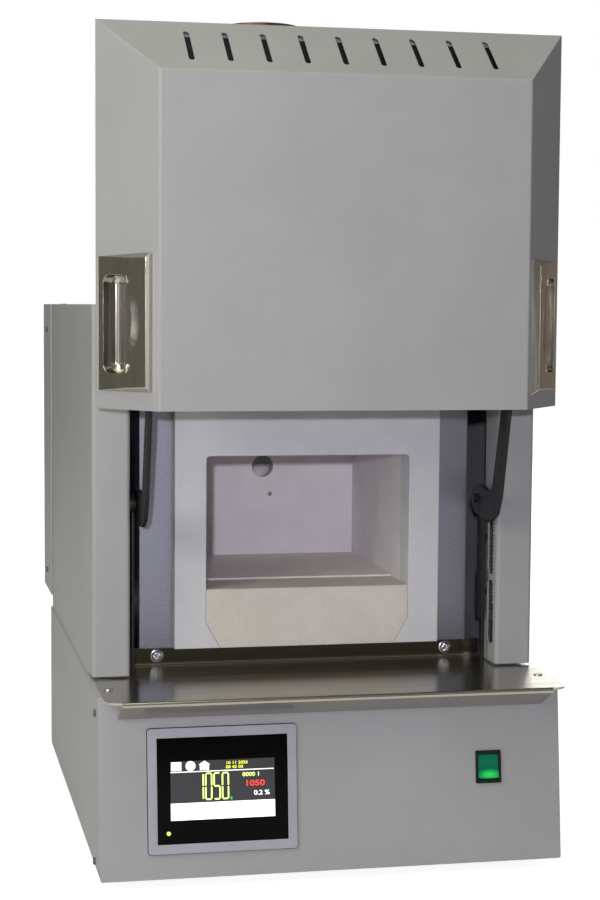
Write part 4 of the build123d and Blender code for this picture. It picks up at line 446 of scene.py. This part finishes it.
screen_text("display_time", lit_yellow, "08 45 00", left=50.8, low=45.2, height=2.7, wide=1.2)
screen_text("display_count", lit_lime, "0000 1", left=66.0, low=37.4, height=3.7, wide=1.15)
screen_text("display_target", lit_red, "1050", left=68.0, low=28.6, height=5.2, wide=1.3)
screen_text("display_share", lit_white, "0.2 %", left=76.5, low=20.2, height=4.2, wide=1.15)
screen_text("display_unit", lit_green, "c", left=54.6, low=17.2, height=3.4)
LAMP_X, LAMP_UP, LAMP_RADIUS, LAMP_RIM_RADIUS = -2.2, -11.4, 1.5, 2.2
screen_piece("display_lamp", lit("lit_lamp", linear(238, 255, 110), 1.4),
             [round_mark(LAMP_X, LAMP_UP, LAMP_RADIUS)], 1)
screen_piece("display_lamp_rim", lit("lit_lamp_rim", linear(110, 150, 30), 0.5),
             [round_mark(LAMP_X, LAMP_UP, LAMP_RIM_RADIUS)], 0)

# Bezel shadow strip: a thin strip in the black rubber finish, laid on the panel round the bezel's rim.
# It is a painted shadow, which shows the shadow gap round the bezel as a thin dark line all round.


def rounded_outline(width, height, corner):
    """Points round a rectangle with rounded corners, counter-clockwise, in millimetres."""
    outline = []
    for quarter, (x, y) in enumerate(((1, 1), (-1, 1), (-1, -1), (1, -1))):
        for step in range(9):
            angle = math.pi / 2 * (quarter + step / 8)
            outline.append((x * (width / 2 - corner) + corner * math.cos(angle),
                            y * (height / 2 - corner) + corner * math.sin(angle)))
    return outline


SHADOW_STRIP_WIDTH, SHADOW_STRIP_HEIGHT, SHADOW_STRIP_CORNER, SHADOW_STRIP_WALL, SHADOW_STRIP_LIFT = 138.7, 114.6, 3.7, 0.65, 0.5
outer = rounded_outline(SHADOW_STRIP_WIDTH, SHADOW_STRIP_HEIGHT, SHADOW_STRIP_CORNER)
inner = rounded_outline(SHADOW_STRIP_WIDTH - 2 * SHADOW_STRIP_WALL, SHADOW_STRIP_HEIGHT - 2 * SHADOW_STRIP_WALL,
                        SHADOW_STRIP_CORNER - SHADOW_STRIP_WALL)
rings = [(outer, 0.0), (outer, SHADOW_STRIP_LIFT), (inner, SHADOW_STRIP_LIFT), (inner, 0.0)]
points = [on_panel(x, CONTROLLER_HEIGHT + y, raised_by) for outline, raised_by in rings for x, y in outline]
count = len(outer)
faces = []
for ring in range(len(rings)):
    here, there = ring * count, (ring + 1) % len(rings) * count
    for i in range(count):
        beside = (i + 1) % count
        faces.append((here + i, here + beside, there + beside, there + i))
shadow_strip = shaped_object("bezel_gasket", points, faces, rubber)
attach(shadow_strip, "housing")

# Mains switch: a black frame snapped into the panel round a green rocker with a lamp inside.
# It is pressed in at the top, and the lamp glows behind the lower half.
dress(black_plastic, "switch_housing")
LAMP_PLACE, GLOW_SQUEEZE = Vector((0.1476, -0.3035, 0.0905)), Vector((0.62, 1, 1.35))
GLOW_REACH, GLOW_CORE = 0.0095, 0.0015
rocker_green, tree, lens = blank_finish("green_rocker_lens")
place = put(tree, "ShaderNodeTexCoord").outputs["Object"]
squeezed = put(tree, "ShaderNodeMapping", None, Vector=place, Scale=GLOW_SQUEEZE)
from_lamp = put(tree, "ShaderNodeVectorMath", {"operation": "DISTANCE"}, i0=squeezed.outputs[0],
                i1=LAMP_PLACE * GLOW_SQUEEZE)
glow = put(tree, "ShaderNodeMapRange", {"interpolation_type": "SMOOTHSTEP"}, Value=from_lamp.outputs["Value"],
           From_Min=GLOW_REACH, From_Max=GLOW_CORE)
form = put(tree, "ShaderNodeGroup", {"node_tree": relief}, Vector=place, Edge_Radius=0.0008,
           Grain_Scale=900.0, Grain_Depth=0.000004)
body_tone = put(tree, "ShaderNodeMix", {"data_type": "RGBA"}, i0=glow.outputs[0], i6=linear(4, 62, 46),
                i7=linear(20, 140, 60))
light_tone = put(tree, "ShaderNodeMix", {"data_type": "RGBA"}, i0=glow.outputs[0], i6=linear(6, 96, 68),
                 i7=linear(60, 240, 96))
tree.links.new(body_tone.outputs[2], lens.inputs["Base Color"])
tree.links.new(light_tone.outputs[2], lens.inputs["Emission Color"])
tree.links.new(form.outputs["Normal"], lens.inputs["Normal"])
lens.inputs["Emission Strength"].default_value = 0.75
lens.inputs["Roughness"].default_value = 0.25
lens.inputs["Specular IOR Level"].default_value = 0.12
dress(rocker_green, "switch_rocker")

# Casing: two folded sides with their front columns, a flat lid and a deep vented back cover.
# They are cut from the same coated sheet as the base, and screwed at the edges.
dress(paint, "casing_side_left", "casing_side_right", "casing_top", "rear_cover")

# Side flanges of the back cover: its walls run forward and lap over the casing's two sides.
# They are the same coated sheet, held by the pan-head screws near the edge of the lap.
LAP_X, LAP_Y, LAP_Z = (215.2, COVER_LAP_SIDE), (231.5, 334.5), (187.2, 527.3)
points = [Vector((hand * x, y, z)) / 1000
          for hand in (-1, 1) for x in LAP_X for y in LAP_Y for z in LAP_Z]
right_faces = [(0, 1, 3, 2), (4, 6, 7, 5), (0, 4, 5, 1), (2, 3, 7, 6), (0, 2, 6, 4), (1, 5, 7, 3)]
faces = [tuple(reversed(face)) for face in right_faces]
faces += [tuple(8 + corner for corner in face) for face in right_faces]
flanges = shaped_object("cover_flanges", points, faces, paint)
rounding = flanges.modifiers.new("rounding", "BEVEL")
rounding.width = 0.0005
rounding.segments = 3
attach(flanges, "housing")

# Inner case, front header, stands, spring seats, door brackets and the supply's box: galvanised sheet.
# They are folded and screwed together, and their zinc is speckled with small paler crystals.
# Painted highlight: the zinc's edges take a much lighter tone, which gives a bright line along the folds.
zinc = finish("galvanised_sheet", linear(142, 142, 153), linear(118, 118, 129), 0.4, metal=0.85,
              edge_wear_and_highlight=linear(206, 206, 214), mottle=900, grain=1400, depth=0.00001, radius=0.0014, spread=0.08,
              stretch=(1, 1, 0.5))
dress(zinc, "inner_case", "front_header", "case_stands", "spring_seats", "door_brackets", "power_supply")

# Insulation: vacuum-formed ceramic fibre boards, cut to fit and held by the case.
# The collar is white outside, and the chamber walls are faintly pink from firing and painted lighter than the
# collar, against the shade inside the chamber.
fibre = finish("white_fibre_board", linear(209, 208, 213), linear(201, 200, 205), 0.95,
               edge_wear_and_highlight=linear(214, 213, 218), mottle=26, grain=420, depth=0.00012, radius=0.0015)
lightened_chamber_fibre = finish("fired_fibre_board_lightened", linear(232, 228, 231), linear(220, 215, 218), 0.95,
                       edge_wear_and_highlight=linear(235, 232, 234), mottle=18, grain=330, depth=0.00014, radius=0.002)
dress(fibre, "front_collar", "door_insulation", "side_insulation")
dress(lightened_chamber_fibre, "heater_plate_left", "heater_plate_right", "rear_insulation", "roof_insulation",
      "hearth_insulation")
dress(bright_steel, "heater_leads")

# Sill brick: insulating firebrick, sawn and chamfered, that carries the hearth's edge.
# It is cream, and its open pores show in patches as darker spots, a painted shade in the holes.
brick = finish("open_pored_firebrick", linear(215, 208, 203), linear(206, 198, 191), 0.95,
               edge_wear_and_highlight=linear(221, 215, 210), mottle=24, grain=420, depth=0.00016, radius=0.0016)
tree = brick.node_tree
brick_tone = tree.nodes["Principled BSDF"].inputs["Base Color"]
place = put(tree, "ShaderNodeTexCoord").outputs["Object"]
pores = put(tree, "ShaderNodeTexVoronoi", None, Vector=place, Scale=620.0)
beside_pores = put(tree, "ShaderNodeMapRange", None, Value=pores.outputs["Distance"], From_Min=0.10,
                   From_Max=0.30)
closeness = put(tree, "ShaderNodeTexNoise", None, Vector=place, Scale=60.0, Detail=2.0)
closed_patch = put(tree, "ShaderNodeMapRange", None, Value=closeness.outputs["Fac"], From_Min=0.44,
                   From_Max=0.56)
# Painted shade: the pores are darker spots of colour.
whole = put(tree, "ShaderNodeMath", {"operation": "MAXIMUM"}, i0=beside_pores.outputs[0],
            i1=closed_patch.outputs[0])
pored = put(tree, "ShaderNodeMix", {"data_type": "RGBA"}, i0=whole.outputs[0], i6=linear(180, 171, 162),
            i7=brick_tone.links[0].from_socket)
tree.links.new(pored.outputs[2], brick_tone)
dress(brick, "sill_brick")

# Hearth plate: a loose off-white ceramic plate that lies on the bed insulation.
# It is dense and matt, with a fine grit in it.
hearth = finish("hearth_ceramic", linear(236, 227, 223), linear(226, 216, 211), 0.8,
                edge_wear_and_highlight=linear(240, 234, 230), mottle=60, grain=700, depth=0.00008, radius=0.0012)
dress(hearth, "hearth_plate")

# Thermocouple and flue tube: unglazed cream ceramic, slipped through the back insulation.
# The first reads the chamber's heat, and the second leads the fumes up to the chimney.
unglazed = finish("unglazed_ceramic", linear(205, 198, 184), linear(188, 180, 164), 0.7, mottle=70, grain=800,
                  depth=0.00003)
dress(unglazed, "thermocouple", "flue_tube")

# Chimney: a rolled steel pipe on a flange, browned by the heat of the flue gas.
# Fine rolling lines run round it, and the brown is deeper in patches.
flue_steel = finish("browned_steel", linear(104, 86, 68), linear(66, 52, 40), 0.42, metal=0.85,
                    edge_wear_and_highlight=linear(140, 122, 100), mottle=12, grain=300, depth=0.00001, radius=0.0006,
                    stretch=(1, 1, 6), spread=0.1)
dress(flue_steel, "chimney")

# Door arms, pivot brackets and the door's back plate: laser-cut steel, blacked and oiled.
# The lower pair drops from the door and hooks back to the pivots; the upper pair is straight.
black_steel = finish("blacked_steel", linear(26, 26, 25), linear(18, 18, 18), 0.55, edge_wear_and_highlight=linear(56, 55, 52),
                     mottle=50, grain=700, depth=0.00001, radius=0.0006, gloss=0.3)
dress(black_steel, "lower_arm_left", "lower_arm_right", "upper_arm_left", "upper_arm_right", "pivot_brackets",
      "door_back_plate")

# Pivots: turned brass bushes in the brackets, with bright steel rods, pins and cross shaft.
# The crank shafts are blacked like the lower arms, which they turn with.
brass = finish("turned_brass", linear(138, 114, 70), linear(112, 90, 54), 0.4, metal=1.0,
               edge_wear_and_highlight=linear(220, 190, 130), mottle=120, grain=900, depth=0.000005)
dress(brass, "pivot_bushes")
dress(bright_steel, "spring_rods", "cross_shaft", "door_pivot_pins")
dress(black_steel, "crank_shafts")

# Counterbalance springs: open coils of zinc-plated spring wire, one inside each column.
# They push the guide rods up, and their wire is painted a very light, almost matt blue-white, a painted
# highlight that shows the turns as light dots in the windows.
# Painted highlight: the wire's colour is far lighter than plated steel, and it is almost matt.
light_painted_spring_wire = finish("zinc_plated_spring_wire_painted_light", linear(226, 231, 250), linear(204, 211, 236), 0.3, metal=0.1,
                      edge_wear_and_highlight=linear(228, 232, 248), mottle=90, grain=900, depth=0.000004, radius=0.0002)
dress(light_painted_spring_wire, "counter_spring_left", "counter_spring_right")

# Door cover: one sheet of steel with a flat front and sloping borders, slotted on top.
# It is folded, and powder coated with the rest of the casing.
dress(paint, "door_cover")

# Door handles: pressed stainless shells on the side borders, polished but soft with use.
# The fingers reach into a long cup, and the heel of the hand rests in the scoop beside it.
handle_steel = finish("pressed_stainless", linear(196, 192, 184), linear(180, 176, 167), 0.13, metal=1.0,
                      edge_wear_and_highlight=linear(224, 222, 216), mottle=16, grain=300, depth=0.000004, radius=0.0008,
                      stretch=(5, 5, 0.3), spread=0.05)
dress(handle_steel, "handle_left", "handle_right")

# Electronics on the base's floor: the relay on its finned aluminium block, and the terminals.
# The block is a cut extrusion, and the relay and the terminals are black mouldings screwed down.
aluminium = finish("extruded_aluminium", linear(188, 189, 191), linear(168, 169, 172), 0.35, metal=1.0,
                   mottle=60, grain=500, depth=0.00001, stretch=(1, 6, 1))
dress(aluminium, "relay_heatsink")
dress(black_plastic, "solid_state_relay", "terminal_block")

# Studio: a pale floor under a white sky, with four soft lamps: a small one beside the camera, wide ones
# at the left, above and behind. Dark cloth flags stand round the part, seen only in its polished metal.
ground = bpy.data.meshes.new("studio_floor")
ground.from_pydata([(-14, -14, 0), (14, -14, 0), (14, 14, 0), (-14, 14, 0)], [], [(0, 1, 2, 3)])
floor = add_object("studio_floor", ground)
pale, tree, shader = blank_finish("pale_floor")
shader.inputs["Base Color"].default_value = (0.6, 0.6, 0.6, 1)
shader.inputs["Roughness"].default_value = 0.9
shader.inputs["Emission Color"].default_value = (1, 1, 1, 1)
MIRRORED_FLOOR = 0.55
NEAR_FLOOR, FAR_FLOOR, SHADED_WHITE = 0.7, 1.8, 0.85
ray = put(tree, "ShaderNodeLightPath")
far = put(tree, "ShaderNodeVectorMath", {"operation": "LENGTH"},
          i0=put(tree, "ShaderNodeTexCoord").outputs["Object"])
fade = put(tree, "ShaderNodeMapRange", None, Value=far.outputs["Value"], From_Min=NEAR_FLOOR,
           From_Max=FAR_FLOOR, To_Min=SHADED_WHITE, To_Max=1.0)
mirrored = put(tree, "ShaderNodeMath", {"operation": "MULTIPLY"}, i0=ray.outputs["Is Glossy Ray"],
               i1=MIRRORED_FLOOR)
seen = put(tree, "ShaderNodeMath", {"operation": "MAXIMUM"}, i0=ray.outputs["Is Camera Ray"],
           i1=mirrored.outputs[0])
shown = put(tree, "ShaderNodeMath", {"operation": "MAXIMUM"}, i0=seen.outputs[0],
            i1=ray.outputs["Is Transmission Ray"])
white = put(tree, "ShaderNodeMath", {"operation": "MULTIPLY"}, i0=shown.outputs[0], i1=fade.outputs[0])
tree.links.new(white.outputs[0], shader.inputs["Emission Strength"])
ground.materials.append(pale)

ROOM_LIGHT = 0.05
world = bpy.data.worlds.new("studio")
bpy.context.scene.world = world
world.use_nodes = True
tree = world.node_tree
backdrop = tree.nodes["Background"]
backdrop.inputs["Color"].default_value = (1, 1, 1, 1)
ray = put(tree, "ShaderNodeLightPath")
seen = put(tree, "ShaderNodeMath", {"operation": "MAXIMUM"}, i0=ray.outputs["Is Camera Ray"],
           i1=ray.outputs["Is Transmission Ray"])
shown = put(tree, "ShaderNodeMath", {"operation": "MAXIMUM"}, i0=seen.outputs[0],
            i1=ray.outputs["Is Glossy Ray"])
power = put(tree, "ShaderNodeMapRange", None, Value=shown.outputs[0], To_Min=ROOM_LIGHT, To_Max=1.0)
tree.links.new(power.outputs[0], backdrop.inputs["Strength"])


def glowing_flag_cloth(name, glow, strength):
    """A dark matt cloth with a faint glow of its own, painted light that stands in for the room's light on
    it.
    """
    cloth, _, shader = blank_finish(name)
    shader.inputs["Base Color"].default_value = (0.06, 0.058, 0.05, 1)
    shader.inputs["Roughness"].default_value = 1.0
    shader.inputs["Emission Color"].default_value = glow
    shader.inputs["Emission Strength"].default_value = strength
    return cloth


def wall(start, end, low, high):
    """Corners of an upright flag over a line on the floor."""
    return [(*start, low), (*end, low), (*end, high), (*start, high)]


# Painted light: both cloths glow faintly, the right one brown.
dark_cloth = glowing_flag_cloth("dark_flag_cloth", (1.0, 0.97, 0.82, 1), 0.13)
brown_cloth = glowing_flag_cloth("brown_flag_cloth", (1.0, 0.82, 0.62, 1), 0.17)
FLAG_FOOT, FLAG_TOP, FRONT_TOP, CEILING = 0.01, 2.4, 2.9, 2.9
WINDOW_LOW, WINDOW_HIGH, WINDOW_NEAR, WINDOW_FAR = 0.36, 0.56, (-1.52, 1.0), (-1.43, 1.62)
FLAGS = {
    "left_far": wall((-0.9, 5.5), WINDOW_FAR, FLAG_FOOT, FLAG_TOP),
    "left_high": wall(WINDOW_FAR, WINDOW_NEAR, WINDOW_HIGH, FLAG_TOP),
    "left_low": wall(WINDOW_FAR, WINDOW_NEAR, FLAG_FOOT, WINDOW_LOW),
    "left_near": wall(WINDOW_NEAR, (-1.75, -0.8), FLAG_FOOT, FLAG_TOP),
    "right": wall((1.7, -0.9), (1.3, 4.5), FLAG_FOOT, FLAG_TOP),
    "front": wall((-3.2, -4.4), (3.2, -4.4), FLAG_FOOT, FRONT_TOP),
    "top": [(-0.9, -3.6, CEILING), (3.0, -3.6, CEILING), (3.0, 3.0, CEILING), (-0.9, 3.0, CEILING)],
}
for label, corners in FLAGS.items():
    cloth = brown_cloth if label == "right" else dark_cloth
    flag = shaped_object("dark_flag_" + label, corners, [(0, 1, 2, 3)], cloth)
    flag.visible_camera = False
    flag.visible_diffuse = False
    flag.visible_shadow = False


def soft_lamp(name, place, aim, size, watts, colour=(1, 1, 1)):
    """A square soft lamp that points at a place."""
    data = bpy.data.lights.new(name, "AREA")
    data.size = size
    data.energy = watts
    data.color = colour
    lamp = add_object(name, data)
    lamp.location = place
    lamp.rotation_euler = (Vector(aim) - Vector(place)).to_track_quat("-Z", "Y").to_euler()


DOOR_MIDDLE = (0, -0.2, 0.45)
soft_lamp("camera_lamp", (-0.61, -2.73, 0.7), DOOR_MIDDLE, size=0.05, watts=26.5, colour=(0.9, 0.895, 1.0))
soft_lamp("side_lamp", (-1.36, -1.25, 1.1), DOOR_MIDDLE, size=0.8, watts=12.8, colour=(0.99, 1.0, 0.84))
soft_lamp("ceiling_lamp", (-0.5, -0.9, 2.3), (0, -0.2, 0.5), size=1.2, watts=17.0, colour=(0.98, 1.0, 0.8))
soft_lamp("back_lamp", (1.9, 3.6, 1.5), (0, 0.1, 0.35), size=1.0, watts=52.0)

# Camera: where the photograph was taken from, with its long lens held almost level.
# The picture is shifted a little sideways, and the lens is written in pixels of the picture's height.
CAMERA_PLACE = (-0.391, -1.951, 0.527)
YAW, PITCH, ROLL = 0.199, 0.077, 0.006
PICTURE_HEIGHT, LENS_PIXELS, SHIFT_PIXELS, SENSOR = 900, 1868.56, 25.75, 36
right = Vector((math.cos(YAW), -math.sin(YAW), 0))
ahead = Vector((math.sin(YAW), math.cos(YAW), 0))
up = Vector((0, 0, 1))
look = ahead * math.cos(PITCH) - up * math.sin(PITCH)
lift = up * math.cos(PITCH) + ahead * math.sin(PITCH)
picture_x = right * math.cos(ROLL) + lift * math.sin(ROLL)
picture_y = lift * math.cos(ROLL) - right * math.sin(ROLL)
turn = Matrix((picture_x, picture_y, -look)).transposed().to_4x4()
camera_data = bpy.data.cameras.new("studio_camera")
camera_data.sensor_width = SENSOR
camera_data.sensor_fit = "AUTO"
camera_data.lens = LENS_PIXELS * SENSOR / PICTURE_HEIGHT
camera_data.shift_x = SHIFT_PIXELS / PICTURE_HEIGHT
camera_data.clip_start = 0.05
camera_data.clip_end = 60
camera = add_object("studio_camera", camera_data)
camera.matrix_world = Matrix.Translation(CAMERA_PLACE) @ turn
bpy.context.scene.camera = camera

bpy.context.scene.view_settings.view_transform = "Standard"
